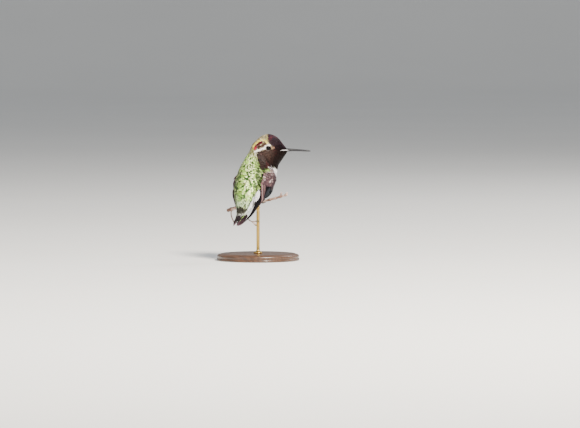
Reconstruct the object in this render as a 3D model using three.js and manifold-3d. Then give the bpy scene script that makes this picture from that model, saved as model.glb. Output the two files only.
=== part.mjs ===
// A hummingbird perched across a cut twig, on a small display stand, life size.
// Millimetres, +Z up. The trunk faces +X and the bird's left side is +Y.
// The origin is the centre of the stand's underside; the rod stands on it.
import * as THREE from "three";
import { mergeVertices } from "three/addons/utils/BufferGeometryUtils.js";
import Module from "manifold-3d";

const wasm = await Module();
wasm.setup();

// ---- Driving dimensions ----

const gap = 0.3; // clearance between neighbouring pieces
const perchHeight = 42; // middle of the twig above the floor
const birdShift = -0.5; // the bird's own zero, under its right foot, from the rod's axis

// The coat's outline, from the bill's root over the head and down to the tail.
// Each station is an oval between a point on the back and one on the front, both (x, z)
// with the head still facing ahead. half is half its width, low widens its lower part,
// and turn is its share of the head's turn.
const stations = [
  { back: [23.3, 38.3], front: [23.7, 36.0], half: 1.5, low: 0, turn: 1 }, // bill's root
  { back: [20.9, 41.3], front: [21.8, 33.2], half: 3.9, low: 0.02, turn: 1 },
  { back: [16.4, 46.6], front: [19.6, 29.8], half: 6.6, low: 0.08, turn: 1 }, // forehead and chin
  { back: [10.2, 49.0], front: [17.7, 27.0], half: 8.4, low: 0.12, turn: 1 }, // crown and throat
  { back: [4.0, 46.9], front: [16.8, 25.0], half: 9.1, low: 0.14, turn: 1 },
  { back: [-0.8, 42.2], front: [16.4, 23.2], half: 9.7, low: 0.12, turn: 0.96 }, // nape
  { back: [-4.0, 36.2], front: [16.0, 21.0], half: 10.3, low: 0.06, turn: 0.78 }, // neck
  { back: [-8.4, 29.8], front: [15.4, 18.2], half: 11.2, low: 0, turn: 0.44 },
  { back: [-13.6, 23.2], front: [14.3, 14.4], half: 11.9, low: -0.05, turn: 0.15 }, // shoulders
  { back: [-17.6, 16.6], front: [12.6, 10.2], half: 12.2, low: -0.08, turn: 0.02 },
  { back: [-19.8, 9.8], front: [10.8, 5.8], half: 11.6, low: -0.1, turn: 0 }, // belly
  { back: [-20.2, 3.6], front: [6.4, 2.9], half: 10.0, low: -0.12, turn: 0 },
  { back: [-19.6, -1.6], front: [-2.6, 1.4], half: 7.6, low: -0.14, turn: 0 }, // vent
  { back: [-19.7, -5.8], front: [-9.8, -4.0], half: 5.5, low: -0.15, turn: 0 },
  { back: [-21.3, -10.2], front: [-16.8, -9.0], half: 3.5, low: -0.15, turn: 0 }, // tail coverts' tips
];
const fullness = 0.84; // under 1 squares the ovals a little
const neckX = 6; // where the upright axis of the head's turn stands
const headTurn = THREE.MathUtils.degToRad(-50); // to the bird's right
const neckStation = 5.1; // where the head ends
const trunkStation = 7.2; // where the trunk begins
const rumpStation = 11.4; // where the rump begins

const eye = { x: 9.8, z: 39.1, fromMiddle: 6.7, radius: 2.3 };

const bill = {
  root: [24.1, 37.2], // (x, z) with the head facing ahead
  tip: [40.6, 36.6],
  rise: 0.25, // how far its middle lies above the straight line
  depth: [2.2, 1.65, 1.45, 1.25, 0.9], // from root to tip
  width: [2.7, 2.0, 1.6, 1.3, 0.9],
  split: 0.12, // the mouth line, below the middle as a share of the depth
};

// The folded right wing lies between its leading edge below and its trailing edge above.
const leadingEdge = [
  [3.6, -11.0, 24.4], [5.4, -12.4, 17.6], [3.0, -12.7, 12.7], [0.6, -12.2, 9.3],
  [-1.7, -11.5, 5.4], [-3.9, -10.1, 1.0], [-7.8, -7.6, -4.0], [-11.0, -5.4, -9.0],
  [-15.3, -3.8, -12.7], [-19.9, -2.9, -15.2],
];
const trailingEdge = [
  [-1.4, -10.3, 24.6], [-5.8, -11.1, 20.4], [-9.6, -11.8, 15.4], [-11.8, -11.8, 11.4],
  [-13.4, -11.4, 8.2], [-14.1, -10.4, 3.8], [-14.9, -8.9, -0.8], [-16.1, -6.5, -6.4],
  [-18.4, -4.8, -10.6], [-21.2, -3.5, -14.2],
];
const wingBulge = 0.7; // how far the folded wing rounds out between its edges
// Layers of the wing. from and to are along its edges, low and high are shares of the way
// across at each end, under is the layer's lower face and thick its thickness.
const wingLayers = {
  primaries: { from: 0.8, to: 9, low: [0.1, 0], high: [1, 1], under: -0.9, thick: 1.1, blunt: 0.3 },
  secondaries: {
    from: 2.2, to: 5.6, low: [0.46, 0.2], high: [0.97, 0.42], under: 0.5, thick: 0.6, blunt: 0.4,
  },
  coverts: { from: 0, to: 2.75, low: [0, 0.05], high: [1, 1], under: 0.5, thick: 0.7, blunt: 0.35 },
};

const tail = {
  feathersEachSide: 5,
  root: [-18.6, -8.4], // (x, z) of the middle pair, under the coverts
  tip: [-25.8, -16.3],
  halfWidth: 1.55,
  thickness: 0.5,
  layerStep: 0.78, // each pair lies this far below the one inside it
  sideStep: 0.3, // and this far further out
  shorter: [0.3, 0.4, 0.8, 1.4, 2.2], // tips, from the middle pair out
};

const twig = {
  left: 29, // cut end, along +Y
  right: 27.6, // living tip, along -Y
  radius: [1.25, 0.62], // at the cut end and at the tip
  slope: 0.234, // it rises towards the bird's right
  droop: -0.42, // its middle under the bird, from the bird's zero height
  joints: [25.6, 13, -11.5, -16.5, -21, -26.3], // swellings where leaves grew
  shoots: [ // each from its joint through the given places, with its radii
    { from: 25.6, path: [[-0.8, 24.6, -10.6], [-1.2, 22.6, -14], [-0.6, 21.2, -17]],
      radii: [0.5, 0.4, 0.45, 0.3] },
    { from: 13, path: [[-1.6, 9, -11], [-3, 3.4, -14.2], [-3.6, -1.6, -14], [-3.8, -5.2, -13.6]],
      radii: [0.5, 0.42, 0.38, 0.36, 0.6, 0.3] },
    { at: [-3, 3, -14.3], path: [[-3.4, 0.4, -15.8], [-3.6, -2.2, -17.2]], radii: [0.36, 0.34, 0.62, 0.3] },
    { from: -21, path: [[0.9, -22, 7.4]], radii: [0.45, 0.5, 0.28] },
    { from: -26.3, path: [[0.3, -27.8, 7.6]], radii: [0.5, 0.62, 0.28] },
  ],
};
const foot = { side: 5, toe: 0.42, shank: 0.55, toeSpread: 1.15 };

const base = { radius: 30, height: 5, roundness: 1.4 };
const rod = { radius: 1.2, foot: 3.2, footHeight: 1.6 };
const cradle = { length: 3.4, wall: 0.7 }; // the half ring that the twig lies in

// ---- Colours ----

function finish(color, roughness, metalness = 0) {
  return new THREE.MeshStandardMaterial({ color, roughness, metalness });
}
const finishes = {
  crown: finish(0x3a1c26, 0.45),
  nape: finish(0x5f6b46, 0.6),
  back: finish(0x5f9a3c, 0.5),
  rump: finish(0x7da866, 0.55),
  quill: finish(0x3c2f33, 0.55),
  covert: finish(0x6e5358, 0.55),
  bill: finish(0x17171c, 0.35),
  eye: finish(0x0a0707, 0.08),
  skin: finish(0x1d1818, 0.6),
  bark: finish(0xb08d7c, 0.85),
  wood: finish(0x4a3426, 0.5),
  brass: finish(0xb39a5e, 0.35, 1),
};

// ---- Shapes ----

// Turns the head: a point found with the head facing ahead swings about the neck's axis.
function turned(x, y, z, share = 1) {
  const angle = headTurn * share;
  const out = x - neckX;
  return new THREE.Vector3(
    neckX + out * Math.cos(angle) - y * Math.sin(angle),
    out * Math.sin(angle) + y * Math.cos(angle),
    z,
  );
}

// A smooth curve through a list, read in steps of one per entry.
function smooth(list, read, at) {
  const points = list.map((entry) => new THREE.Vector3(...read(entry)));
  const curve = new THREE.CatmullRomCurve3(points, false, "catmullrom", 0.5);
  return curve.getPoint(THREE.MathUtils.clamp(at / (list.length - 1), 0, 1));
}

function ovalAt(at) {
  const back = smooth(stations, (s) => [s.back[0], 0, s.back[1]], at);
  const front = smooth(stations, (s) => [s.front[0], 0, s.front[1]], at);
  const form = smooth(stations, (s) => [s.half, s.low, s.turn], at);
  return { back, front, half: form.x, low: form.y, turn: form.z };
}

// A point of the coat at a station and an angle from the back, positive to the left.
function coatPoint(oval, angle) {
  const { back, front, half, low, turn } = oval;
  const up = Math.cos(angle);
  const x = (back.x + front.x) / 2 + ((back.x - front.x) / 2) * up;
  const z = (back.z + front.z) / 2 + ((back.z - front.z) / 2) * up;
  const across = Math.sign(Math.sin(angle)) * Math.abs(Math.sin(angle)) ** fullness;
  return turned(x, half * across * (1 - low * up), z, turn);
}

// The same, lifted off the coat along its normal.
function coatLifted(at, angle, lift) {
  const step = 0.02;
  const middle = coatPoint(ovalAt(at), angle);
  const along = coatPoint(ovalAt(at + step), angle).sub(coatPoint(ovalAt(at - step), angle));
  const round = coatPoint(ovalAt(at), angle + step).sub(coatPoint(ovalAt(at), angle - step));
  const normal = round.cross(along).normalize();
  const outward = coatPoint(ovalAt(at), angle + Math.PI).sub(middle).negate();
  if (normal.dot(outward) < 0) normal.negate();
  return middle.addScaledVector(normal, lift);
}

// A closed solid from a manifold-3d mesh's point of view: only places and faces.
function solidOf(geometry) {
  const bare = geometry.clone();
  bare.deleteAttribute("normal");
  bare.deleteAttribute("uv");
  const merged = mergeVertices(bare, 1e-4);
  const mesh = new wasm.Mesh({
    numProp: 3,
    vertProperties: new Float32Array(merged.attributes.position.array),
    triVerts: new Uint32Array(merged.index.array),
  });
  return new wasm.Manifold(mesh);
}

// A solid skinned over rings of equally many points, its two ends closed by fans.
function loft(rings) {
  const count = rings[0].length;
  const points = rings.flat();
  const faces = [];
  for (let r = 0; r + 1 < rings.length; r++)
    for (let i = 0; i < count; i++) {
      const a = r * count + i;
      const b = r * count + ((i + 1) % count);
      faces.push(a, b, a + count, b, b + count, a + count);
    }
  for (const [start, outward] of [[0, true], [(rings.length - 1) * count, false]]) {
    const middle = new THREE.Vector3();
    for (let i = 0; i < count; i++) middle.addScaledVector(points[start + i], 1 / count);
    points.push(middle);
    for (let i = 0; i < count; i++) {
      const pair = [start + i, start + ((i + 1) % count)];
      if (outward) pair.reverse();
      faces.push(...pair, points.length - 1);
    }
  }
  const geometry = new THREE.BufferGeometry().setFromPoints(points);
  if (signedVolume(points, faces) < 0) faces.reverse();
  geometry.setIndex(faces);
  return solidOf(geometry);
}

function signedVolume(points, faces) {
  let six = 0;
  for (let i = 0; i < faces.length; i += 3) {
    const [a, b, c] = [points[faces[i]], points[faces[i + 1]], points[faces[i + 2]]];
    six += a.dot(b.clone().cross(c));
  }
  return six;
}

// A round limb: circles of the given radii square to a path.
function limb(path, radii, sides) {
  const curve = new THREE.CatmullRomCurve3(path, false, "centripetal");
  const steps = radii.length - 1;
  const rings = radii.map((radius, i) => {
    const middle = curve.getPoint(i / steps);
    const ahead = curve.getTangent(i / steps);
    const side = new THREE.Vector3(0, 1, 0).addScaledVector(ahead, -ahead.y);
    if (side.length() < 0.3) side.set(1, 0, 0).addScaledVector(ahead, -ahead.x);
    side.normalize();
    const up = ahead.clone().cross(side);
    return Array.from({ length: sides }, (_, k) => {
      const angle = (2 * Math.PI * k) / sides;
      return middle.clone()
        .addScaledVector(side, radius * Math.cos(angle))
        .addScaledVector(up, radius * Math.sin(angle));
    });
  });
  return loft(rings);
}

// A blade: a flat oval carried along a path. Each entry of path has its middle, its side
// and its face direction, half its width and its thickness.
function blade(path) {
  const upper = [[1, 0.15], [0.5, 0.5], [-0.5, 0.5], [-1, 0.15]];
  const corners = [...upper, ...upper.map(([across, through]) => [-across, -through])];
  return loft(path.map(({ middle, side, face, half, thickness }) =>
    corners.map(([across, through]) => middle.clone()
      .addScaledVector(side, across * half)
      .addScaledVector(face, through * thickness))));
}

function largest(solid) {
  return solid.decompose().reduce((best, s) => (s.volume() > best.volume() ? s : best));
}

const bird = new THREE.Group();
bird.position.set(birdShift, 0, perchHeight - twig.droop);

function add(name, solid, material, group = bird) {
  const mesh = solid.getMesh();
  const geometry = new THREE.BufferGeometry()
    .setAttribute("position", new THREE.BufferAttribute(mesh.vertProperties, 3))
    .setIndex(new THREE.BufferAttribute(mesh.triVerts, 1));
  geometry.computeVertexNormals();
  const made = new THREE.Mesh(geometry, material);
  made.name = name;
  group.add(made);
}

// ---- The body, modelled whole and parted by thin cuts ----

function coat(lift = 0) {
  const steps = 38;
  const sides = 24;
  const last = stations.length - 1;
  const rings = Array.from({ length: steps + 1 }, (_, r) => {
    const at = (last * r) / steps;
    return Array.from({ length: sides }, (_, i) => {
      const angle = (2 * Math.PI * i) / sides;
      return lift ? coatLifted(at, angle, lift) : coatPoint(ovalAt(at), angle);
    });
  });
  if (lift) { // its tail end is lifted too
    const ahead = ovalAt(last).back.sub(ovalAt(last - 0.1).back).normalize();
    rings.push(rings[steps].map((point) => point.clone().addScaledVector(ahead, lift)));
  }
  return loft(rings);
}

// A thin slab on the plane of one station's oval.
function cutAt(at) {
  const oval = ovalAt(at);
  const top = coatPoint(oval, 0);
  const bottom = coatPoint(oval, Math.PI);
  const up = top.clone().sub(bottom);
  const tall = up.length() + 2;
  const side = turned(neckX, 1, 0, oval.turn).sub(turned(neckX, 0, 0, oval.turn));
  up.normalize();
  const basis = new THREE.Matrix4().makeBasis(side, up, side.clone().cross(up));
  basis.setPosition(top.add(bottom).multiplyScalar(0.5));
  const slab = new THREE.BoxGeometry(2.4 * oval.half + 4, tall, gap).applyMatrix4(basis);
  return solidOf(slab);
}

function eyeAt(side, radius) {
  const middle = turned(eye.x, side * eye.fromMiddle, eye.z);
  const ball = new THREE.SphereGeometry(radius, 14, 8).translate(middle.x, middle.y, middle.z);
  return solidOf(ball);
}

function makeBody() {
  let whole = coat();
  for (const at of [neckStation, trunkStation, rumpStation]) whole = whole.subtract(cutAt(at));
  for (const side of [1, -1]) {
    whole = whole.subtract(eyeAt(side, eye.radius + gap));
    add(side > 0 ? "eye_left" : "eye_right", eyeAt(side, eye.radius), finishes.eye);
  }
  const pieces = whole.decompose().filter((s) => s.volume() > 1);
  pieces.sort((a, b) => b.boundingBox().max[2] - a.boundingBox().max[2]);
  const names = [["head", "crown"], ["neck", "nape"], ["trunk", "back"], ["rump", "rump"]];
  names.forEach(([name, look], i) => add(name, pieces[i], finishes[look]));
}

// ---- The bill: two mandibles with the mouth line between them ----

function makeBill() {
  const steps = bill.depth.length - 1;
  const half = (above) => loft(bill.depth.map((depth, i) => {
    const share = i / steps;
    const x = THREE.MathUtils.lerp(bill.root[0], bill.tip[0], share);
    const straight = THREE.MathUtils.lerp(bill.root[1], bill.tip[1], share);
    const z = straight + bill.rise * Math.sin(Math.PI * share);
    const mouth = z - bill.split * depth + (above ? gap / 3 : -gap / 3);
    const edge = above ? z + depth / 2 : z - depth / 2;
    return Array.from({ length: 9 }, (_, k) => {
      const angle = (Math.PI * k) / 8;
      return turned(
        x,
        (bill.width[i] / 2) * Math.cos(angle),
        mouth + (edge - mouth) * Math.sin(angle),
      );
    });
  }));
  add("bill_upper", half(true), finishes.bill);
  add("bill_lower", half(false), finishes.bill);
}

// ---- Wings: long folded primaries, with the secondaries and coverts lying on them ----

// A point of the folded right wing: along its edges, across from leading to trailing, and out.
function wingPoint(along, across, out) {
  const low = smooth(leadingEdge, (p) => p, along);
  const high = smooth(trailingEdge, (p) => p, along);
  const ahead = smooth(leadingEdge, (p) => p, along + 0.1).sub(smooth(leadingEdge, (p) => p, along - 0.1));
  const face = ahead.cross(high.clone().sub(low)).normalize();
  if (face.y > 0) face.negate();
  const rounded = wingBulge * Math.sin(Math.PI * across);
  return low.lerp(high, across).addScaledVector(face, out + rounded);
}

// One layer as a thick shell over its patch of the wing, rounded at both ends.
function wingLayer({ from, to, low, high, under, thick, blunt }, hand, grow = 0) {
  const steps = 12;
  const columns = 4;
  const rings = Array.from({ length: steps + 1 }, (_, i) => {
    const share = i / steps;
    const round = Math.max(0.12, (1 - Math.abs(2 * share - 1) ** 4) ** blunt);
    const middle = THREE.MathUtils.lerp(low[0] + high[0], low[1] + high[1], share) / 2;
    const half = (THREE.MathUtils.lerp(high[0] - low[0], high[1] - low[1], share) / 2) * round + grow / 12;
    const along = THREE.MathUtils.lerp(from - grow / 4, to + grow / 4, share);
    const row = (out) => Array.from({ length: columns + 1 }, (_, k) =>
      wingPoint(along, middle + half * ((2 * k) / columns - 1), out));
    return [...row(under + thick + grow), ...row(under - grow).reverse()];
  });
  const right = loft(rings);
  return hand < 0 ? right : right.mirror([0, 1, 0]);
}

function makeWings() {
  const room = coat(gap);
  return [["left", 1], ["right", -1]].map(([name, hand]) => {
    const { primaries, secondaries, coverts } = wingLayers;
    const coverRoom = wingLayer(coverts, hand, gap);
    const pieces = {
      coverts: largest(wingLayer(coverts, hand).subtract(room)),
      secondaries: largest(wingLayer(secondaries, hand).subtract(coverRoom).subtract(room)),
      primaries: largest(wingLayer(primaries, hand).subtract(room)),
    };
    for (const [layer, solid] of Object.entries(pieces))
      add(`wing_${name}_${layer}`, solid, layer === "primaries" ? finishes.quill : finishes.covert);
    return pieces.primaries;
  });
}

// ---- The tail: five pairs of feathers, the middle pair on top ----

function makeTail(wings) {
  const [rootX, rootZ] = tail.root;
  const along = new THREE.Vector3(tail.tip[0] - rootX, 0, tail.tip[1] - rootZ);
  const length = along.length();
  along.normalize();
  const side = new THREE.Vector3(0, 1, 0);
  const face = side.clone().cross(along).normalize();
  if (face.x > 0) face.negate();
  const room = coat(gap);
  for (let pair = 0; pair < tail.feathersEachSide; pair++) {
    const own = length - tail.shorter[pair];
    const out = tail.halfWidth + gap / 2 + 0.05 + pair * tail.sideStep;
    const shares = [0, 0.35, 0.6, 0.8, 0.92, 1];
    const path = shares.map((share) => ({
      middle: new THREE.Vector3(rootX, out * (1 - 0.12 * share), rootZ)
        .addScaledVector(along, own * share)
        .addScaledVector(face, -pair * tail.layerStep * (1 - 0.2 * share) - 0.6 * share * share),
      side,
      face,
      half: tail.halfWidth * Math.max(0.3, Math.sqrt(1 - share ** 6)) * (share > 0.9 ? 0.9 : 0.88),
      thickness: tail.thickness,
    }));
    const left = blade(path);
    for (const [name, feather] of [["left", left], ["right", left.mirror([0, 1, 0])]]) {
      const clear = wings.reduce((rest, wing) => rest.subtract(wing), feather.subtract(room));
      add(`tail_${name}_${pair + 1}`, largest(clear), finishes.quill);
    }
  }
}

// ---- The twig, and the feet that grip it ----

function twigMiddle(y) {
  const bend = 0.35 * Math.sin(y / 9);
  return new THREE.Vector3(-birdShift, y, twig.droop - twig.slope * y + bend);
}

function twigRadius(y) {
  const share = (twig.left - y) / (twig.left + twig.right);
  const plain = THREE.MathUtils.lerp(twig.radius[0], twig.radius[1], share);
  const swelling = twig.joints.reduce((sum, at) => sum + 0.35 * Math.exp(-(((y - at) / 0.8) ** 2)), 0);
  return plain + swelling;
}

function makeTwig() {
  const steps = 40;
  const places = Array.from({ length: steps + 1 }, (_, i) =>
    THREE.MathUtils.lerp(twig.left, -twig.right, i / steps));
  let whole = limb(places.map(twigMiddle), places.map(twigRadius), 9);
  for (const { from, at, path, radii } of twig.shoots) {
    const start = at ? new THREE.Vector3(...at) : twigMiddle(from);
    whole = whole.add(limb([start, ...path.map((place) => new THREE.Vector3(...place))], radii, 6));
  }
  add("perch_twig", whole, finishes.bark);
}

// One toe: from the top of the twig round its front or back, ending in a hooked claw.
function toe(y, lean, from, sweep) {
  const middle = twigMiddle(y);
  const reach = twigRadius(y) + gap + foot.toe + 0.05;
  const path = Array.from({ length: 8 }, (_, i) => {
    const share = i / 7;
    const angle = from + sweep * share;
    return new THREE.Vector3(
      middle.x + reach * Math.cos(angle),
      y + lean * share,
      twigMiddle(y + lean * share).z + reach * Math.sin(angle),
    );
  });
  const radii = [1, 1, 0.95, 1, 0.9, 0.85, 0.62, 0.55].map((share) => share * foot.toe);
  return limb(path, radii, 7);
}

function makeFeet(room) {
  for (const side of [1, -1]) {
    const y = side * foot.side;
    const top = twigMiddle(y);
    top.z += twigRadius(y) + gap + foot.toe + 0.05;
    const up = Math.PI / 2;
    let grip = toe(y, 0, up, -3.4);
    grip = grip.add(toe(y, foot.toeSpread, up, -3.0)).add(toe(y, -foot.toeSpread, up, -3.0));
    grip = grip.add(toe(y, 0, up, 2.2));
    const ankle = top.clone().add(new THREE.Vector3(0.4, side * 0.3, 1.8));
    const knee = top.clone().add(new THREE.Vector3(1.6, side * 0.5, 4.2));
    const shank = limb([top, ankle, knee], [1, 0.9, 0.9, 1].map((s) => s * foot.shank), 8);
    const name = side > 0 ? "left" : "right";
    add("leg_" + name, largest(grip.add(shank).subtract(room)), finishes.skin);
  }
}

// ---- The stand ----

function makeStand(group) {
  const { radius, height, roundness } = base;
  const profile = [[0, 0], [radius - 0.6, 0], [radius, 0.6]].map(([r, z]) => new THREE.Vector2(r, z));
  for (let i = 0; i <= 4; i++) {
    const angle = (Math.PI / 2) * (i / 4);
    profile.push(new THREE.Vector2(
      radius - roundness + roundness * Math.cos(angle),
      height - roundness + roundness * Math.sin(angle),
    ));
  }
  profile.push(new THREE.Vector2(0, height));
  const lathed = (points, sides) => solidOf(new THREE.LatheGeometry(points, sides).rotateX(Math.PI / 2));
  add("stand_base", lathed(profile, 36), finishes.wood, group);

  const inner = twigRadius(0) + gap;
  const outer = inner + cradle.wall;
  const bottom = height + gap;
  const top = perchHeight - outer * Math.hypot(1, twig.slope) - gap;
  const post = [
    [0, bottom], [rod.foot, bottom], [rod.foot, bottom + 0.8],
    [rod.radius, bottom + rod.footHeight], [rod.radius, top], [0, top],
  ].map(([r, z]) => new THREE.Vector2(r, z));
  add("stand_rod", lathed(post, 20), finishes.brass, group);

  const ring = [[inner, -0.5], [outer, -0.5], [outer, 0.5], [inner, 0.5], [inner, -0.5]]
    .map(([r, share]) => new THREE.Vector2(r, share * cradle.length));
  const above = new THREE.BoxGeometry(3 * outer, 2 * cradle.length, 2 * outer).translate(0, 0, outer);
  const lean = -Math.atan(twig.slope);
  const placed = (geometry) => solidOf(geometry.rotateX(lean).translate(0, 0, perchHeight));
  const halfRing = placed(new THREE.LatheGeometry(ring, 24)).subtract(placed(above));
  add("stand_cradle", halfRing, finishes.brass, group);
}

const part = new THREE.Group();
part.add(bird);
makeBody();
makeBill();
makeTail(makeWings());
makeTwig();
makeFeet(coat(gap));
makeStand(part);

export default part;
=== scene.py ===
import math
from types import SimpleNamespace

import bpy
import numpy as np
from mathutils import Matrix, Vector


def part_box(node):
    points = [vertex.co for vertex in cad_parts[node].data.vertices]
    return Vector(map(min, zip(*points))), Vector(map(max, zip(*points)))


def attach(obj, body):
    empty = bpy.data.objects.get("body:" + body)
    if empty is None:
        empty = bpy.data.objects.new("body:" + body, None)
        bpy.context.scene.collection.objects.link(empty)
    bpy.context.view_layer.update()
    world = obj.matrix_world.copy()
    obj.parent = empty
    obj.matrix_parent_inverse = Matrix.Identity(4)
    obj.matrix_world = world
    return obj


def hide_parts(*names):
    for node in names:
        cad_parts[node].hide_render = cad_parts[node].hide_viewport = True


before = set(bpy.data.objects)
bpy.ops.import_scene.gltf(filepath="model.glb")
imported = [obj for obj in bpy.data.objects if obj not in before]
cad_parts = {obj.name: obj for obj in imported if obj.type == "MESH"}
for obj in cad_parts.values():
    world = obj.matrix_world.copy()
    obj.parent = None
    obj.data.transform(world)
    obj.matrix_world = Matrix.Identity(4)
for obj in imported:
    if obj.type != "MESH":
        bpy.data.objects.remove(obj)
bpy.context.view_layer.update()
random = np.random.default_rng(41)

mm = 0.001
deg = math.pi / 180


# Hex colour text to linear light, as the shader wants it.
def tone(text):
    value = np.array([int(text[i:i + 2], 16) for i in (1, 3, 5)]) / 255
    return np.where(value <= 0.04045, value / 12.92, ((value + 0.055) / 1.055) ** 2.4)


# 0 below low, 1 above high, with the soft S of 3x^2 - 2x^3 between.
def ease(value, low, high):
    share = np.clip((value - low) / (high - low), 0, 1)
    return share * share * (3 - 2 * share)


# From the first value to the second by a share of the way.
def blend(first, second, share):
    return first + (second - first) * share


# Vectors cut to length 1.
def unit(vector):
    return vector / np.maximum(np.linalg.norm(vector, axis=-1, keepdims=True), 1e-12)


# Catmull-Rom through the rows of a table, read at any place along it. Past the last row it
# runs straight on.
def curveThrough(table, at):
    table = np.asarray(table, float)
    count = len(table)
    at = np.asarray(at, float)
    inside = np.clip(at, 0, count - 1)
    i = np.clip(np.floor(inside).astype(int), 0, count - 2)
    f = (inside - i)[..., None]
    before = np.where((i == 0)[..., None], 2 * table[0] - table[1], table[np.maximum(i - 1, 0)])
    after = np.where((i == count - 2)[..., None], 2 * table[-1] - table[-2],
                     table[np.minimum(i + 2, count - 1)])
    a, b = table[i], table[i + 1]
    return 0.5 * (2 * a + (b - before) * f + (2 * before - 5 * a + 4 * b - after) * f ** 2
                  + (3 * a - before - 3 * b + after) * f ** 3)


# Smooth wandering value between about -1 and 1: a few sine waves along slanted directions.
def wander(points, size, seed=0):
    draw = np.random.default_rng(seed)
    total = np.zeros(points.shape[:-1])
    for _ in range(7):
        way = unit(draw.normal(size=3)) / size * draw.uniform(0.7, 1.6)
        total += np.sin(2 * math.pi * points @ way + draw.uniform(0, 6.28))
    return total / 3.2


# Faces is a list of index arrays, each with one face to a row; flip turns them all over. Maps
# are UV maps and tints are colour or number attributes, both given for each vertex.
def makePiece(name, points, faces, material, maps=None, tints=None, flip=False):
    points = np.asarray(points, float).reshape(-1, 3)
    corners = np.concatenate([(f[:, ::-1] if flip else f).ravel() for f in faces]).astype(np.int32)
    totals = np.concatenate([np.full(len(f), f.shape[1]) for f in faces]).astype(np.int32)
    mesh = bpy.data.meshes.new(name)
    mesh.vertices.add(len(points))
    mesh.vertices.foreach_set("co", points.astype(np.float32).ravel())
    mesh.loops.add(len(corners))
    mesh.loops.foreach_set("vertex_index", corners)
    mesh.polygons.add(len(totals))
    mesh.polygons.foreach_set("loop_start", (np.cumsum(totals) - totals).astype(np.int32))
    mesh.polygons.foreach_set("loop_total", totals)
    mesh.polygons.foreach_set("use_smooth", np.full(len(totals), True))
    for mapName, places in (maps or {}).items():
        layer = mesh.uv_layers.new(name=mapName)
        layer.data.foreach_set("uv", np.asarray(places, np.float32)[corners].ravel())
    for tintName, values in (tints or {}).items():
        values = np.asarray(values, np.float32).reshape(len(points), -1)
        if values.shape[1] == 1:
            layer = mesh.attributes.new(tintName, "FLOAT", "POINT")
            layer.data.foreach_set("value", values.ravel())
        else:
            layer = mesh.attributes.new(tintName, "FLOAT_COLOR", "POINT")
            solid = np.ones((len(values), 1), np.float32)
            layer.data.foreach_set("color", np.hstack([values, solid]).ravel())
    mesh.update()
    mesh.validate()
    mesh.materials.append(material)
    piece = bpy.data.objects.new(name, mesh)
    bpy.context.scene.collection.objects.link(piece)
    return piece


# A piece that rides on the root, standing in for the CAD nodes given, which it hides. Its slot is not used.
def addPiece(name, points, faces, material, slot, nodes=(), **settings):
    piece = makePiece(name, points, faces, material, **settings)
    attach(piece, "root")
    if nodes:
        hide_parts(*nodes)
    return piece


# Quads of a grid of rows by columns; a closed grid joins its last column to its first.
def gridFaces(rows, columns, closed=False):
    r, c = np.meshgrid(np.arange(rows - 1), np.arange(columns if closed else columns - 1), indexing="ij")
    d = (c + 1) % columns
    quads = np.stack([r * columns + c, r * columns + d, (r + 1) * columns + d, (r + 1) * columns + c], -1)
    return quads.reshape(-1, 4)


# A closed tube of rings, each end shut by a fan to its middle. Returns points and faces.
def closedTube(rings):
    rows, columns = rings.shape[:2]
    points = np.concatenate([rings.reshape(-1, 3), [rings[0].mean(0)], [rings[-1].mean(0)]])
    k = np.arange(columns)
    first = np.stack([(k + 1) % columns, k, np.full(columns, rows * columns)], -1)
    last = np.stack([k, (k + 1) % columns, np.full(columns, rows * columns + 1)], -1)
    last[:, :2] += (rows - 1) * columns
    return points, [gridFaces(rows, columns, closed=True), np.concatenate([first, last])]


# Colours of a closed tube's rings, with those of its two end middles after them.
def tubeTint(tint):
    return np.concatenate([tint.reshape(-1, 3), tint[0, :1], tint[-1, :1]])


# Several point and face sets as one.
def joinSets(sets):
    points, faces, start = [], {}, 0
    for p, fs in sets:
        for f in fs:
            faces.setdefault(f.shape[1], []).append(f + start)
        points.append(p)
        start += len(p)
    return np.concatenate(points), [np.concatenate(f) for f in faces.values()]


# Circles square to a path: the path's own direction, a side taken from the given up, and
# a radius for each of its places.
def tubeRings(path, radii, sides, up=(0, 0, 1)):
    path = np.asarray(path, float)
    ahead = unit(np.gradient(path, axis=0))
    side = unit(np.cross(np.broadcast_to(up, path.shape), ahead))
    top = np.cross(ahead, side)
    turn = np.linspace(0, 2 * math.pi, sides, endpoint=False)
    radii = np.broadcast_to(np.asarray(radii, float).reshape(len(path), -1), (len(path), sides))
    ring = side[:, None] * np.cos(turn)[None, :, None] + top[:, None] * np.sin(turn)[None, :, None]
    return path[:, None] + ring * radii[..., None]


# A material with its constants on the shader's own sockets.
def newMaterial(name, **sockets):
    material = bpy.data.materials.new(name)
    material.use_nodes = True
    tree = material.node_tree
    shader = tree.nodes["Principled BSDF"]
    for socket, value in sockets.items():
        shader.inputs[socket].default_value = value
    return material, tree, shader


# A node whose inputs are set, or linked where another node's output is given.
def addNode(tree, kind, inputs=None, **settings):
    node = tree.nodes.new(kind)
    for key, value in settings.items():
        setattr(node, key, value)
    for key, value in (inputs or {}).items():
        if isinstance(value, bpy.types.NodeSocket):
            tree.links.new(value, node.inputs[key])
        else:
            node.inputs[key].default_value = value
    return node


# One step of arithmetic on two values.
def mathNode(tree, operation, first, second=0.0):
    return addNode(tree, "ShaderNodeMath", {0: first, 1: second}, operation=operation).outputs[0]


# Colour times a grey factor.
def timesGrey(tree, colour, grey):
    return addNode(tree, "ShaderNodeVectorMath", {0: colour, "Scale": grey}, operation="SCALE").outputs[0]


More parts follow.
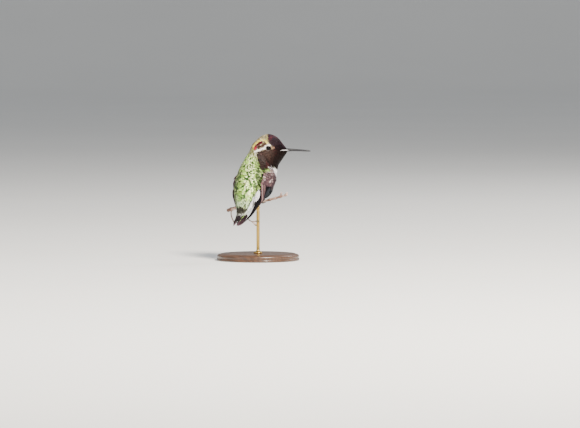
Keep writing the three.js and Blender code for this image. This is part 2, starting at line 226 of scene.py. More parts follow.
# Noise in the object's own space, spread from low to high; stretch draws it out along an axis.
def objectNoise(tree, scale, detail=3.0, low=0.0, high=1.0, stretch=(1, 1, 1)):
    place = addNode(tree, "ShaderNodeTexCoord").outputs["Object"]
    mapped = addNode(tree, "ShaderNodeMapping", {"Vector": place, "Scale": stretch}).outputs[0]
    noise = addNode(tree, "ShaderNodeTexNoise", {"Vector": mapped, "Scale": scale, "Detail": detail})
    return mapRange(tree, noise.outputs["Fac"], 0.25, 0.75, low, high)


# A value's run from first to last, carried over to the run from low to high.
def mapRange(tree, value, first, last, low, high):
    return addNode(tree, "ShaderNodeMapRange", {0: value, 1: first, 2: last, 3: low, 4: high}).outputs[0]


# Fine relief on the shader's normal; distance is in metres.
def addBump(tree, shader, strength, distance, height):
    bump = addNode(tree, "ShaderNodeBump", {"Strength": strength, "Distance": distance, "Height": height})
    tree.links.new(bump.outputs[0], shader.inputs["Normal"])


# A material with the piece's own tint, or one plain colour, broken up by noise. Mottle,
# roughness and relief's last part are what objectNoise takes.
def noiseMaterial(name, mottle, roughness=None, relief=None, colour=None, **sockets):
    material, tree, shader = newMaterial(name, **sockets)
    if colour is None:
        colour = addNode(tree, "ShaderNodeAttribute", attribute_name="tint").outputs["Color"]
    tree.links.new(timesGrey(tree, colour, objectNoise(tree, *mottle)), shader.inputs["Base Color"])
    if roughness:
        tree.links.new(objectNoise(tree, *roughness), shader.inputs["Roughness"])
    if relief:
        strength, distance, noise = relief
        addBump(tree, shader, strength, distance, objectNoise(tree, *noise))
    return material


# Vane material: the feather's own tint, fine slanted barb lines on both sides of the shaft,
# and a little drift in tone. The vane map holds millimetres out from the shaft and along it.
def featherMaterial(name, barb, roughness, relief, lines, specular):
    material, tree, shader = newMaterial(name, **{"Specular IOR Level": specular})
    tint = addNode(tree, "ShaderNodeAttribute", attribute_name="tint").outputs["Color"]
    shine = addNode(tree, "ShaderNodeAttribute", attribute_name="shine").outputs["Fac"]
    place = addNode(tree, "ShaderNodeUVMap", uv_map="vane").outputs[0]
    parts = addNode(tree, "ShaderNodeSeparateXYZ", {0: place})
    out = mathNode(tree, "ABSOLUTE", parts.outputs[0])
    slant = mathNode(tree, "SUBTRACT", parts.outputs[1], mathNode(tree, "MULTIPLY", out, 1.1))
    wave = mathNode(tree, "SINE", mathNode(tree, "MULTIPLY", slant, 2 * math.pi / barb))
    drift = objectNoise(tree, 900, 4, 0.86, 1.12)
    streak = mapRange(tree, wave, -1.0, 1.0, 1 - lines, 1 + lines)
    colour = timesGrey(tree, tint, mathNode(tree, "MULTIPLY", drift, streak))
    tree.links.new(colour, shader.inputs["Base Color"])
    tree.links.new(shine, shader.inputs["Metallic"])
    tree.links.new(objectNoise(tree, 1500, 2, *roughness), shader.inputs["Roughness"])
    addBump(tree, shader, relief, 0.00004, wave)
    return material


# The coat's outline in millimetres, from the bill's root over the head to the tail. Each
# station has its back point (x, z), its front point (x, z), half its width, how much wider
# its lower part is, and its share of the head's turn. The feet stand at zero.
bodyForm = {
    "stations": [
        (23.3, 38.3, 23.7, 36.0, 1.5, 0.00, 1.00),
        (20.9, 41.3, 21.8, 33.2, 3.9, 0.02, 1.00),
        (16.4, 46.6, 19.6, 29.8, 6.6, 0.08, 1.00),
        (10.2, 49.0, 17.7, 27.0, 8.4, 0.12, 1.00),
        (4.0, 46.9, 16.8, 25.0, 9.1, 0.14, 1.00),
        (-0.8, 42.2, 16.4, 23.2, 9.7, 0.12, 0.96),
        (-4.0, 36.2, 16.0, 21.0, 10.3, 0.06, 0.78),
        (-8.4, 29.8, 15.4, 18.2, 11.2, 0.00, 0.44),
        (-13.6, 23.2, 14.3, 14.4, 11.9, -0.05, 0.15),
        (-17.6, 16.6, 12.6, 10.2, 12.2, -0.08, 0.02),
        (-19.8, 9.8, 10.8, 5.8, 11.6, -0.10, 0.00),
        (-20.2, 3.6, 6.4, 2.9, 10.0, -0.12, 0.00),
        (-19.6, -1.6, -2.6, 1.4, 7.6, -0.14, 0.00),
        (-19.7, -5.8, -9.8, -4.0, 5.5, -0.15, 0.00),
        (-21.3, -10.2, -16.8, -9.0, 3.5, -0.15, 0.00),
    ],
    "fullness": 0.84,
    "neckX": 6.0,
    "headTurn": -50 * deg,
    "eye": (9.8, 6.7, 39.1),  # x ahead, out from the middle, height
    "eyeRadius": 2.3,
    "tailWay": (-0.67, 0.0, -0.74),
}
lastStation = len(bodyForm["stations"]) - 1


# Swings points about the upright axis through the neck by a share of the head's turn.
def turnHead(points, share=1.0):
    angle = bodyForm["headTurn"] * np.asarray(share, float)
    x = points[..., 0] - bodyForm["neckX"]
    y = points[..., 1]
    return np.stack([bodyForm["neckX"] + x * np.cos(angle) - y * np.sin(angle),
                     x * np.sin(angle) + y * np.cos(angle), points[..., 2]], -1)


# A point of the coat before the head turns: on an oval between the station's back and front
# points, its width a power of the sine of the angle from the back, and wider below.
def straightPoint(at, angle):
    form = curveThrough(bodyForm["stations"], at)
    up, out = np.cos(angle), np.sin(angle)
    x = (form[..., 0] + form[..., 2]) / 2 + (form[..., 0] - form[..., 2]) / 2 * up
    z = (form[..., 1] + form[..., 3]) / 2 + (form[..., 1] - form[..., 3]) / 2 * up
    y = form[..., 4] * np.sign(out) * np.abs(out) ** bodyForm["fullness"] * (1 - form[..., 5] * up)
    return np.stack([x, y, z], -1), form[..., 6]


# The coat's outer surface; past the last station it runs on along the tail, a little slimmer.
def coatPoint(at, angle):
    at, angle = np.broadcast_arrays(np.asarray(at, float), np.asarray(angle, float))
    straight, share = straightPoint(np.minimum(at, lastStation), angle)
    over = np.maximum(at - lastStation, 0)[..., None]
    middle, _ = straightPoint(np.full(at.shape, float(lastStation)), np.full(at.shape, math.pi / 2))
    middle = middle * np.array([1, 0, 1])
    straight = middle + (straight - middle) * (1 - 0.25 * over) + 4.6 * over * np.array(bodyForm["tailWay"])
    return turnHead(straight, share)


# Place, outward normal, flow direction, and how many millimetres a unit of station and a
# radian of angle cover, all by small differences.
def coatFrame(at, angle):
    step = 0.01
    point = coatPoint(at, angle)
    along = (coatPoint(at + step, angle) - coatPoint(np.maximum(at - step, 0), angle))
    along = along / (at + step - np.maximum(at - step, 0))[..., None]
    sideways = (coatPoint(at, angle + step) - coatPoint(at, angle - step)) / (2 * step)
    normal = unit(np.cross(sideways, along))
    return point, normal, along, np.linalg.norm(along, axis=-1), np.linalg.norm(sideways, axis=-1)


# Where the bird stands in the frame, found from the CAD eyes.
def boxMiddle(node):
    low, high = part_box(node)
    return np.array([(low[i] + high[i]) / 2 for i in range(3)]) / mm


eyePlaces = {hand: turnHead(np.array(bodyForm["eye"]) * np.array([1, hand, 1])) for hand in (1, -1)}
birdPlace = (boxMiddle("eye_left") + boxMiddle("eye_right")) / 2 - (eyePlaces[1] + eyePlaces[-1]) / 2


# The bird's own millimetres to metres in the frame.
def toFrame(points):
    return (points + birdPlace) * mm


print("bird stands at", np.round(birdPlace, 2))


studio = {
    "azimuth": -50,  # degrees; the camera looks at the bird from behind its right side
    "elevation": 3.0,
    "distance": 3.0,  # metres
    "sensor": 36.0,
    "widthSeen": 0.4205,  # metres across the frame at the bird
    "aim": (19.65, -8.9),  # frame's middle: millimetres right of the bird's foot mark, and up
    "footMark": -3.83,
    "floorColour": "#ecebe8",
    "floorReach": [0.02, 0.5, 1, 2, 3, 4, 5],  # metres out, before the floor curves up
    "wallRadius": 2.2,
    "worldColour": "#e9eef4",
    "worldStrength": 0.48,
    # soft lights: side, height, toward the camera, size, power, colour
    "lights": {
        "keyLight": (0.55, 1.0, 0.95, 0.42, 68.0, "#fff7ea"),
        "fillLight": (-1.0, 0.7, 0.8, 0.9, 6.0, "#e8f0ff"),
        "rimLight": (0.9, 0.9, -0.8, 0.6, 10.0, "#ffffff"),
    },
}


# Stands a camera or a lamp at a place, with its face turned along a direction.
def addHolder(name, data, place, way):
    holder = bpy.data.objects.new(name, data)
    bpy.context.scene.collection.objects.link(holder)
    holder.location = place
    holder.rotation_mode = "QUATERNION"
    holder.rotation_quaternion = Vector(way).to_track_quat("-Z", "Y")
    return holder


# A round floor that curves up into a wall all round: a profile turned about the upright axis.
def makeFloor(columns=96):
    s = studio
    rise = np.linspace(0, 84, 16)[1:] * deg
    flat = s["floorReach"]
    reach = np.concatenate([flat, flat[-1] + s["wallRadius"] * np.sin(rise)])
    height = np.concatenate([np.zeros(len(flat)), s["wallRadius"] * (1 - np.cos(rise))])
    turn = np.linspace(0, 2 * math.pi, columns, endpoint=False)
    points = np.stack([reach[:, None] * np.cos(turn), reach[:, None] * np.sin(turn),
                       np.repeat(height[:, None], columns, 1)], -1)
    faces = [gridFaces(len(reach), columns, closed=True)[:, ::-1], np.arange(columns)[None]]
    material = noiseMaterial("studioFloor", (3, 2, 0.985, 1.015), colour=tuple(tone(s["floorColour"])),
                             Roughness=0.85)
    makePiece("studioFloor", points, faces, material)


# The camera stands level with the bird by azimuth and elevation, with its middle set off from
# the bird by the aim. Three soft disk lamps and an even sky light it.
def makeStudio():
    s = studio
    a, e = s["azimuth"] * deg, s["elevation"] * deg
    right = np.array([math.cos(a), math.sin(a), 0])
    away = np.array([math.sin(a), -math.cos(a), 0])
    back = away * math.cos(e) + np.array([0, 0, math.sin(e)])
    aim = (birdPlace + right * (s["aim"][0] - s["footMark"])) * mm
    aim = aim - away * (aim @ away)
    aim[2] = (birdPlace[2] + s["aim"][1]) * mm
    camera = bpy.data.cameras.new("camera")
    camera.sensor_width = s["sensor"]
    camera.lens = s["sensor"] * s["distance"] / s["widthSeen"]
    camera.clip_end = 60
    bpy.context.scene.camera = addHolder("camera", camera, aim + back * s["distance"], -back)

    target = np.array([0, 0, birdPlace[2] + 15]) * mm
    for name, (side, up, toward, size, power, colour) in s["lights"].items():
        lamp = bpy.data.lights.new(name, "AREA")
        lamp.shape = "DISK"
        lamp.size = size
        lamp.energy = power
        lamp.color = tuple(tone(colour))
        place = target + right * side + away * toward + np.array([0, 0, up])
        addHolder(name, lamp, place, target - place)
    world = bpy.data.worlds.new("studioAir")
    world.use_nodes = True
    air = world.node_tree.nodes["Background"].inputs
    air["Color"].default_value = (*tone(s["worldColour"]), 1)
    air["Strength"].default_value = s["worldStrength"]
    bpy.context.scene.world = world


makeFloor()
makeStudio()
print("studio ready")


plumage = {
    "crownDark": "#1c0f15", "crownMaroon": "#421a22", "crownBlue": "#1d1628", "crownPaintedSheen": "#7d6a5f",
    "hindCrown": "#8a7f5a", "hindCrownDark": "#43383a", "hindCrownPink": "#c2b594",
    "hindCrownEdge": "#9c9080",
    "gold": "#dcc440", "goldEdge": "#f3e87c", "crimson": "#4d1022", "magentaGlint": "#b01c48", "ear": "#372219",
    "eyeWhite": "#f6f2ec", "streak": "#e6ddd8", "buff": "#83624f",
    "gorget": "#221412", "gorgetEdge": "#44322b", "gorgetRed": "#421c1f", "throatDark": "#120d0c",
    "cheek": "#382a26",
    "nape": "#80803f", "napeGrey": "#a9a592",
    "green": "#8fbe4a", "greenLight": "#cdf07c", "greenHighlight": "#f0fdba", "greenDark": "#32521f",
    "olive": "#77803f", "greenPaintedShade": "#4c5738",
    "rumpGreen": "#86b468", "rumpPale": "#c9deb2", "rumpDark": "#3d4a35",
    "tailCovert": "#2f2d24", "tailCovertEdge": "#e4e4da",
    "collar": "#f0eef0", "breast": "#c4c6cf", "belly": "#8f94a4", "flankGreen": "#5c7346",
    "flankPaintedShade": "#141a22", "ventPale": "#c9ccc6", "ventGreen": "#83916c",
    "tuft": "#f4f2f6", "tuftShade": "#cfcdd8",
    "covert": "#694e4d", "covertEdge": "#cdbab8", "covertDark": "#38272f", "shoulderGreen": "#8fae58",
    # vane is the flight feathers' dusky brown darkened to near black: painted shadow.
    "vane": "#0d0b10", "vaneWarm": "#705051", "vaneUnder": "#8d7078", "vaneEdge": "#33272c",
    "primaryRim": "#5d6470", "shaft": "#0a0709",
    "tail": "#1f161a", "tailPaintedSheen": "#5f444c", "tailTip": "#c9c2bf", "tailGreen": "#2f4230",
}
plumage = {name: tone(text) for name, text in plumage.items()}

# Marks on the side of the head, in millimetres: ahead along the bill's heading, and height.
headMarks = {
    "streak": ([(5.0, 38.9), (2.0, 38.1), (-1.0, 37.0), (-2.2, 36.1)], 0.8),
    "gold": ([(7.3, 42.6), (6.2, 43.9), (4.8, 44.9), (3.1, 45.1), (0.8, 44.1), (-1.0, 42.7), (-2.6, 40.2),
              (-3.1, 38.4)], 0.62),
    "crimson": ([(3.0, 43.1), (1.8, 42.6), (0.0, 41.4), (-1.3, 40.1), (-2.3, 38.4)], 0.9),
    "ear": ([(6.0, 42.0), (3.4, 41.2), (0.9, 39.7)], 1.0),
    "buff": ([(10.7, 39.3), (12.0, 39.6)], 0.55),
    "gorgetEdge": [(-1.5, 35.2), (-0.2, 33.6), (0.5, 31.0), (1.2, 27.8), (2.6, 25.8), (4.3, 24.6),
                   (6.6, 24.2), (9.6, 26.0), (12.4, 26.4), (14.3, 24.6), (16.5, 24.6), (24, 26)],
    "gorgetTop": [(-1.5, 35.2), (2.0, 37.0), (5.5, 38.0), (10, 38.4), (24, 38.6)],
    "crownEdge": [(7.3, 49), (7.6, 45), (8.6, 42.4), (10.6, 40.6), (11.6, 38)],
}
eyeAhead = 7.7  # the eye's own place in those terms
eyeHeight = 39.2


# Shortest distance from points to a chain of straight pieces.
def awayFromPath(x, z, path):
    path = np.asarray(path, float)
    best = np.full(x.shape, 99.0)
    for (x0, z0), (x1, z1) in zip(path[:-1], path[1:]):
        dx, dz = x1 - x0, z1 - z0
        share = np.clip(((x - x0) * dx + (z - z0) * dz) / (dx * dx + dz * dz), 0, 1)
        best = np.minimum(best, np.hypot(x - x0 - share * dx, z - z0 - share * dz))
    return best


# How far ahead along the bill's heading a place lies, both sides read as the right one.
def sidePlace(at, angle):
    at = np.minimum(at, lastStation)
    straight, share = straightPoint(at, angle)
    straight[..., 1] = -np.abs(straight[..., 1])
    placed = turnHead(straight, share)
    heading = np.array([math.cos(bodyForm["headTurn"]), math.sin(bodyForm["headTurn"]), 0])
    return placed @ heading, placed[..., 2]


# Share of a place that belongs to the gorget: between its lower and upper edges.
def gorgetShare(ahead, height):
    low = markLine("gorgetEdge", ahead)
    high = markLine("gorgetTop", ahead)
    within = ease(height, low - 0.15, low + 0.15) * ease(height, high + 0.4, high - 0.4)
    return within * ease(ahead, -1.6, -1.0)


# Height of one of the marks' lines at each place ahead.
def markLine(name, ahead):
    return np.interp(ahead, *np.array(headMarks[name], float).T)


# Colours of the coat at each place: the middle of a feather, its edge, and how much it
# shines like metal. Layers are laid one on another, each through a soft mask; luck is a
# number from 0 to 1 for each feather, so that neighbours differ.
def coatMarks(at, angle, luck):
    point, _ = straightPoint(np.minimum(at, lastStation), angle)
    ahead, height = sidePlace(at, angle)
    c = SimpleNamespace(at=at, angle=angle, luck=luck, ahead=ahead, height=height, turn=fromBack(angle),
                        drift=wander(point, 9.0, 3), fine=wander(point, 3.2, 5))
    for part in (backMarks, rumpMarks, napeMarks, undersideMarks, crownMarks, earMarks, throatMarks,
                 eyeMarks):
        part(c)
    return c.mid, c.edge, c.shine


# The angle from the middle of the back, the same on both sides.
def fromBack(angle):
    return np.abs((angle + math.pi) % (2 * math.pi) - math.pi)


# A colour laid over another through a mask.
def lay(under, colour, mask):
    return blend(under, colour, mask[..., None])


# Lays one colour on the feathers' middles and another on their edges.
def paint(c, mask, middle, rim):
    c.mid, c.edge = lay(c.mid, middle, mask), lay(c.edge, rim, mask)


# A colour made darker or lighter by each feather's luck.
def varied(c, name, low, high):
    return plumage[name] * blend(low, high, c.luck)[..., None]


# 1 between two soft ends: it climbs from a to b and falls from d to e.
def between(value, a, b, d, e):
    return ease(value, a, b) * ease(value, e, d)


# A line of marks as a mask: full within its reach, less fade, and none beyond reach and soft.
def alongMark(c, name, wobble, soft, fade):
    path, reach = headMarks[name]
    return ease(awayFromPath(c.ahead, c.height, path) + wobble * c.fine, reach + soft, reach - fade)


# Back: greens that break up from feather to feather. A band to each side of the middle is brightened,
# with near-white flecks: painted highlight. Its sides and its left half are darkened: painted shade.
def backMarks(c):
    p = plumage
    # Painted highlight: a brightened band to each side of the back's middle, where near-white flecks gather.
    paintedSunlight = ease(np.abs(c.turn - 0.48), 0.42, 0.15)
    mid = lay(p["green"], p["greenLight"], ease(c.luck + 0.25 * c.drift + 0.4 * paintedSunlight, 0.5, 0.76))
    mid = lay(mid, p["greenHighlight"], ease(c.luck + 0.3 * c.fine + 0.45 * paintedSunlight, 0.86, 1.02))
    mid = lay(mid, p["greenDark"], ease(c.luck + 0.3 * c.drift + 0.3 * c.fine, 0.36, 0.16))
    c.mid = lay(mid, p["olive"], 0.5 * ease(c.fine, 0.45, 0.9))
    c.edge = c.mid * 1.2 + 0.02
    c.shine = np.full(c.at.shape, 0.34)
    # Painted shade: the back's sides darkened toward a dull grey green.
    paintedSideShade = ease(c.turn, 0.68, 0.9) * between(c.at, 5.6, 6.6, 10.6, 11.6)
    c.mid = lay(c.mid, varied(c, "greenPaintedShade", 0.4, 1.3), 0.85 * paintedSideShade)
    c.edge = lay(c.edge, p["greenPaintedShade"] * 1.3, 0.4 * paintedSideShade)
    # Painted shade: the left half darkened as the side turned away from the light.
    leftward = (c.angle + math.pi) % (2 * math.pi) - math.pi
    paintedLeftShade = ease(leftward, -0.15, 0.3) * ease(c.turn, 1.7, 1.3) * ease(c.at, 6.5, 7.5)
    c.mid = lay(c.mid, varied(c, "greenPaintedShade", 0.6, 1.4), 0.8 * paintedLeftShade)
    c.edge = lay(c.edge, p["greenPaintedShade"] * 1.4, 0.6 * paintedLeftShade)
    lower = ease(c.at, 10.2, 11.6)
    c.mid = lay(c.mid, p["rumpGreen"], 0.55 * lower)
    c.mid = lay(c.mid, p["rumpDark"], 0.8 * lower * ease(c.luck, 0.45, 0.2))


# Rump: pale streaks down the middle and each side, with darker ones between, the white tufts
# beside them and the dark tail coverts behind; turns are in degrees from the middle.
def rumpMarks(c):
    p, at = plumage, c.at
    turn = c.turn / deg + 2 * c.fine
    side = ease(turn - 5 * ease(at, 12.1, 12.7), 30, 32.5) * ease(turn, 50, 46)
    side = side * between(at, 11.3, 11.8, 13.2, 13.5)
    parting = 1 - 0.8 * np.exp(-((turn - 6.5) / 2.0) ** 2)
    pale = ease(turn, 20, 17) * parting * between(at, 11.1, 11.6, 12.3, 12.6) + side
    c.mid = lay(c.mid, p["rumpPale"], 0.8 * pale * ease(c.luck, 0.0, 0.25))
    c.edge = lay(c.edge, p["rumpPale"], pale)
    gaps = (between(turn, 19, 22, 29, 31) + 0.7 * between(turn, 43, 46, 52, 55)) * ease(at, 11.0, 11.5)
    dark = varied(c, "rumpDark", 0.6, 1.3)
    c.mid, c.edge = lay(c.mid, dark, 0.95 * gaps), lay(c.edge, dark * 1.4, 0.8 * gaps)
    c.shine = c.shine * (1 - 0.7 * np.clip(pale, 0, 1))
    tuft = between(turn, 51, 56, 96, 104) * between(at, 10.1, 10.7, 13.3, 13.7)
    paint(c, tuft, p["tuftShade"], p["tuft"])
    c.shine = c.shine * (1 - tuft)
    tailward = ease(at + 0.35 * ease(c.turn, 0.5, 0.1), 12.45, 12.7) * ease(c.turn, 0.95, 0.75)
    paint(c, tailward, p["tailCovert"], p["tailCovert"] * 1.5)
    c.edge = lay(c.edge, p["tailCovertEdge"], between(at, 13.25, 13.4, 13.65, 13.75))
    paint(c, ease(at, 13.65, 13.8) * ease(c.turn, 1.3, 1.1), p["tail"], p["tail"] * 1.6)
    c.shine = c.shine * (1 - 0.6 * tailward)


# Nape: dull olive and grey.
def napeMarks(c):
    p = plumage
    nape = ease(c.at, 6.7, 5.9) * ease(c.turn, 1.9, 1.5)
    patch = lay(p["nape"], p["napeGrey"], ease(c.luck + 0.4 * c.fine, 0.45, 0.9))
    patch = lay(patch, p["hindCrownDark"], 0.7 * ease(c.luck + 0.3 * c.drift, 0.3, 0.05))
    paint(c, nape, patch, blend(patch, p["hindCrownEdge"], 0.4))
    c.shine = c.shine * (1 - 0.7 * nape)


# Underside: pale collar and breast, grey belly, green mottled flanks, pale vent; the lower flank beside the
# wing is the dusky flank darkened to near black, which is painted shade.
def undersideMarks(c):
    p, at = plumage, c.at
    under = ease(c.turn + 0.1 * c.fine, 1.66, 1.9) * ease(at, 4.6, 5.4)
    low = lay(p["breast"], p["belly"], ease(at, 7.5, 10.0))
    mottle = ease(c.turn, 2.5, 2.1) * ease(at, 6.4, 7.6) * ease(c.luck + 0.2 * c.fine, 0.2, 0.6)
    low = lay(low, p["flankGreen"], mottle)
    # Painted shade: the lower flank beside the wing darkened to near black.
    paintedFlankShade = ease(c.turn, 2.75, 2.35) * between(at, 8.0, 9.0, 11.5, 12.0)
    low = lay(low, varied(c, "flankPaintedShade", 0.5, 1.5), 0.95 * paintedFlankShade)
    low = lay(low, p["ventPale"], ease(at, 11.2, 12.2))
    low = lay(low, p["ventGreen"], ease(at, 11.8, 12.6) * ease(c.luck, 0.4, 0.7))
    low = lay(low, p["collar"], ease(at, 7.4, 6.2))
    paint(c, under, low, low * 1.2 + 0.003)
    c.shine = c.shine * (1 - 0.9 * under)


# Crown: grey and buff behind, and a dark front part mottled with maroon and blue; the edges of its feathers
# toward the top carry a painted sheen.
def crownMarks(c):
    p = plumage
    head = ease(c.at, 5.45, 5.0) * ease(c.turn, 1.95, 1.7)
    patch = lay(p["hindCrown"], p["hindCrownDark"], ease(0.6 * c.luck - 0.5 * c.fine, 0.45, 0.75))
    patch = lay(patch, p["hindCrownPink"], ease(0.6 * c.luck + 0.5 * c.fine, 0.55, 0.8))
    patch = lay(patch, p["nape"], 0.6 * ease(c.drift, 0.2, 0.7))
    paint(c, head, patch, blend(patch, p["hindCrownEdge"], 0.45))
    rim = np.array(headMarks["crownEdge"])
    border = np.interp(-c.height, -rim[:, 1], rim[:, 0])
    front = ease(c.ahead - border + 0.35 * c.fine, -0.35, 0.35) * ease(c.at, 5.2, 4.8)
    dark = lay(p["crownDark"], p["crownMaroon"], ease(0.5 * c.luck + 0.4 * c.drift, 0.3, 0.8))
    dark = lay(dark, p["crownBlue"], 0.7 * ease(c.luck - 0.3 * c.drift, 0.3, 0.1))
    # Painted sheen: paler feather edges on the top of the crown.
    paintedSheen = ease(c.turn, 0.9, 0.1) * ease(c.luck + 0.3 * c.fine, 0.5, 0.9)
    paint(c, front, dark, lay(dark * 1.7 + 0.01, p["crownPaintedSheen"], 0.4 * paintedSheen))
    c.shine = c.shine * (1 - head) + 0.25 * front


# Behind the eye: a brown patch, and crimson with a gold border over it; a magenta spot in the crimson is a
# painted glint.
def earMarks(c):
    p = plumage
    paint(c, alongMark(c, "ear", 0.3, 0.3, 0.3), varied(c, "ear", 0.7, 1.3), p["gorgetEdge"])
    red = alongMark(c, "crimson", 0.2, 0.25, 0.35)
    # Painted glint: a magenta spot in the crimson.
    paintedGlint = ease(np.hypot(c.ahead + 2.2, c.height - 38.8), 2.1, 0.9)
    crimson = lay(p["crimson"], p["magentaGlint"], paintedGlint)
    paint(c, red, crimson, crimson * 1.5)
    gilt = alongMark(c, "gold", 0.25, 0.2, 0.45)
    paint(c, gilt, p["gold"], p["goldEdge"])
    c.shine = np.maximum(c.shine, 0.55 * red + 0.3 * gilt)


# Gorget: near black with some red, browner on the cheek, darkest in front and at the lore.
def throatMarks(c):
    p = plumage
    gorget = gorgetShare(c.ahead + 0.25 * c.fine, c.height)
    throat = lay(p["gorget"], p["gorgetRed"], 0.8 * ease(0.6 * c.luck + 0.45 * c.drift, 0.35, 0.8))
    brown = ease(0.6 * c.luck - 0.5 * c.drift, 0.35, 0.7) * ease(c.height, 29, 34)
    throat = lay(throat, p["gorgetEdge"], 0.45 * brown)
    throat = lay(throat, p["throatDark"], 0.8 * ease(c.luck + 0.3 * c.fine, 0.3, 0.05))
    front = ease(c.ahead + 0.35 * (36 - c.height), 11.0, 15.5)
    throat = lay(throat, p["throatDark"], 0.9 * front)
    cheek = ease(np.hypot((c.ahead - 7.6) / 4.6, (c.height - 35.2) / 2.5), 1.25, 0.55)
    throat = lay(throat, varied(c, "cheek", 0.6, 1.4), 0.45 * cheek)
    paint(c, gorget, throat, blend(throat, lay(p["gorgetEdge"], p["gorget"], 0.8 * front), 0.3))
    lore = ease(np.hypot((c.ahead - 15.0) / 3.6, (c.height - 39.6) / 2.3), 1.15, 0.75)
    paint(c, 0.85 * lore, p["throatDark"], p["crownDark"])
    c.shine = c.shine * (1 - gorget) + 0.2 * gorget


# White above and behind the eye and in a streak behind it, and a buff spot before it.
def eyeMarks(c):
    p = plumage
    x, z = c.ahead - eyeAhead, c.height - eyeHeight
    around, bearing = np.hypot(x, z), np.arctan2(z, x)
    wide = 2.62 + 0.5 * ease(np.abs(bearing), 2.3, 3.0)
    above = np.clip(ease(bearing, 0.5, 0.8) + ease(bearing, -2.5, -2.85), 0, 1)
    thin = 1 - 0.6 * np.exp(-((bearing - 2.1) / 0.22) ** 2)
    ring = ease(around, wide + 0.2, wide - 0.2) * above * thin
    beneath = 0.05 * ease(around, 2.3, 2.1) * ease(bearing, -0.9, -1.2)
    pale = np.maximum(alongMark(c, "streak", 0, 0.15, 0.35), np.maximum(ring, beneath))
    paint(c, pale, p["streak"], p["eyeWhite"])
    buff = alongMark(c, "buff", 0, 0.25, 0.25)
    paint(c, buff, p["buff"], p["buff"] * 1.4)
    c.shine = c.shine * (1 - np.maximum(pale, buff))


skinForm = {"along": 260, "around": 200, "dip": 1.7, "pore": 0.03, "tone": "#8a6f6c"}


# How deep the skin lies below the coat's outer surface.
def coatDepth(at):
    return np.interp(at, [0, 1, 3.5, 5.5, 8, 12, 14], [0.22, 0.34, 0.5, 0.75, 1.1, 1.0, 0.7])


# Each eye's middle, its outward axis and two directions square to that: ahead and up.
def eyeFrame(hand):
    axis = unit(np.array([0.10, hand, 0.04]))
    ahead = unit(np.array([1, 0, 0]) - axis * axis[0])
    up = np.cross(ahead, axis) * hand
    middle = np.array(bodyForm["eye"]) * np.array([1, hand, 1])
    home = turnHead(middle)
    return home, *(turnHead(way + middle) - home for way in (axis, ahead, up))


# Distance of coat points from the nearer eye's axis, on its own side only.
def awayFromEye(points):
    best = np.full(points.shape[:-1], 99.0)
    for hand in (1, -1):
        middle, axis, _, _ = eyeFrame(hand)
        offset = points - middle
        deep = offset @ axis
        flat = np.linalg.norm(offset - deep[..., None] * axis, axis=-1)
        best = np.where(deep > 0, np.minimum(best, flat), best)
    return best


# Lids: a folded profile of radius and height on the eye's axis, carried round it. Above and
# below, the ring draws in by flatten and rises so that it still lies on the ball.
lidForm = {
    "profile": [(1.49, 1.46), (1.50, 1.73), (1.55, 1.82), (1.61, 1.82), (1.66, 1.76), (1.70, 1.76),
                (1.75, 1.70), (1.84, 1.49), (2.05, 1.15), (2.50, 0.58), (2.28, 0.25), (1.80, 0.84)],
    "around": 72,
    "across": 36,
    "flatten": 0.17,
    "wrinkle": 0.018,
    "colour": "#0c090a",
}


# The share by which a ring round the eye draws in at a turn, and how far it rises there.
def lidSquash(radius, turn):
    share = lidForm["flatten"] * np.sin(turn) ** 2 * ease(radius, 3.2, 2.0)

    def depth(out):
        return np.sqrt(np.maximum(bodyForm["eyeRadius"] ** 2 - out ** 2, 0))

    rise = depth(radius * (1 - share)) - depth(radius)
    return 1 - share, rise * ease(radius, 2.4, 1.6)


# The lid's folded profile goes once round the eye and closes on itself.
def makeLid(hand):
    middle, axis, ahead, up = eyeFrame(hand)
    around, columns = lidForm["around"], lidForm["across"]
    turn = np.linspace(0, 2 * math.pi, around, endpoint=False)[:, None]
    profile = np.array(lidForm["profile"])
    steps = np.linspace(0, len(profile), columns, endpoint=False)
    out, high = curveThrough(np.concatenate([profile, profile[:1]]), steps).T[:, None]
    drawn, rise = lidSquash(out, turn)
    wrinkle = lidForm["wrinkle"] * np.sin(turn * 23 + 3 * np.sin(turn * 2)) * (out > 1.6)
    rings = (middle + axis * (high + rise + wrinkle)[..., None] + ahead * (out * np.cos(turn))[..., None]
             + up * (out * drawn * np.sin(turn))[..., None])
    r, c = np.meshgrid(np.arange(around), np.arange(columns), indexing="ij")
    r2, c2 = (r + 1) % around, (c + 1) % columns
    quads = np.stack([r * columns + c, r * columns + c2, r2 * columns + c2, r2 * columns + c], -1)
    quads = quads.reshape(-1, 4)
    return rings.reshape(-1, 3), [quads if hand < 0 else quads[:, ::-1]]


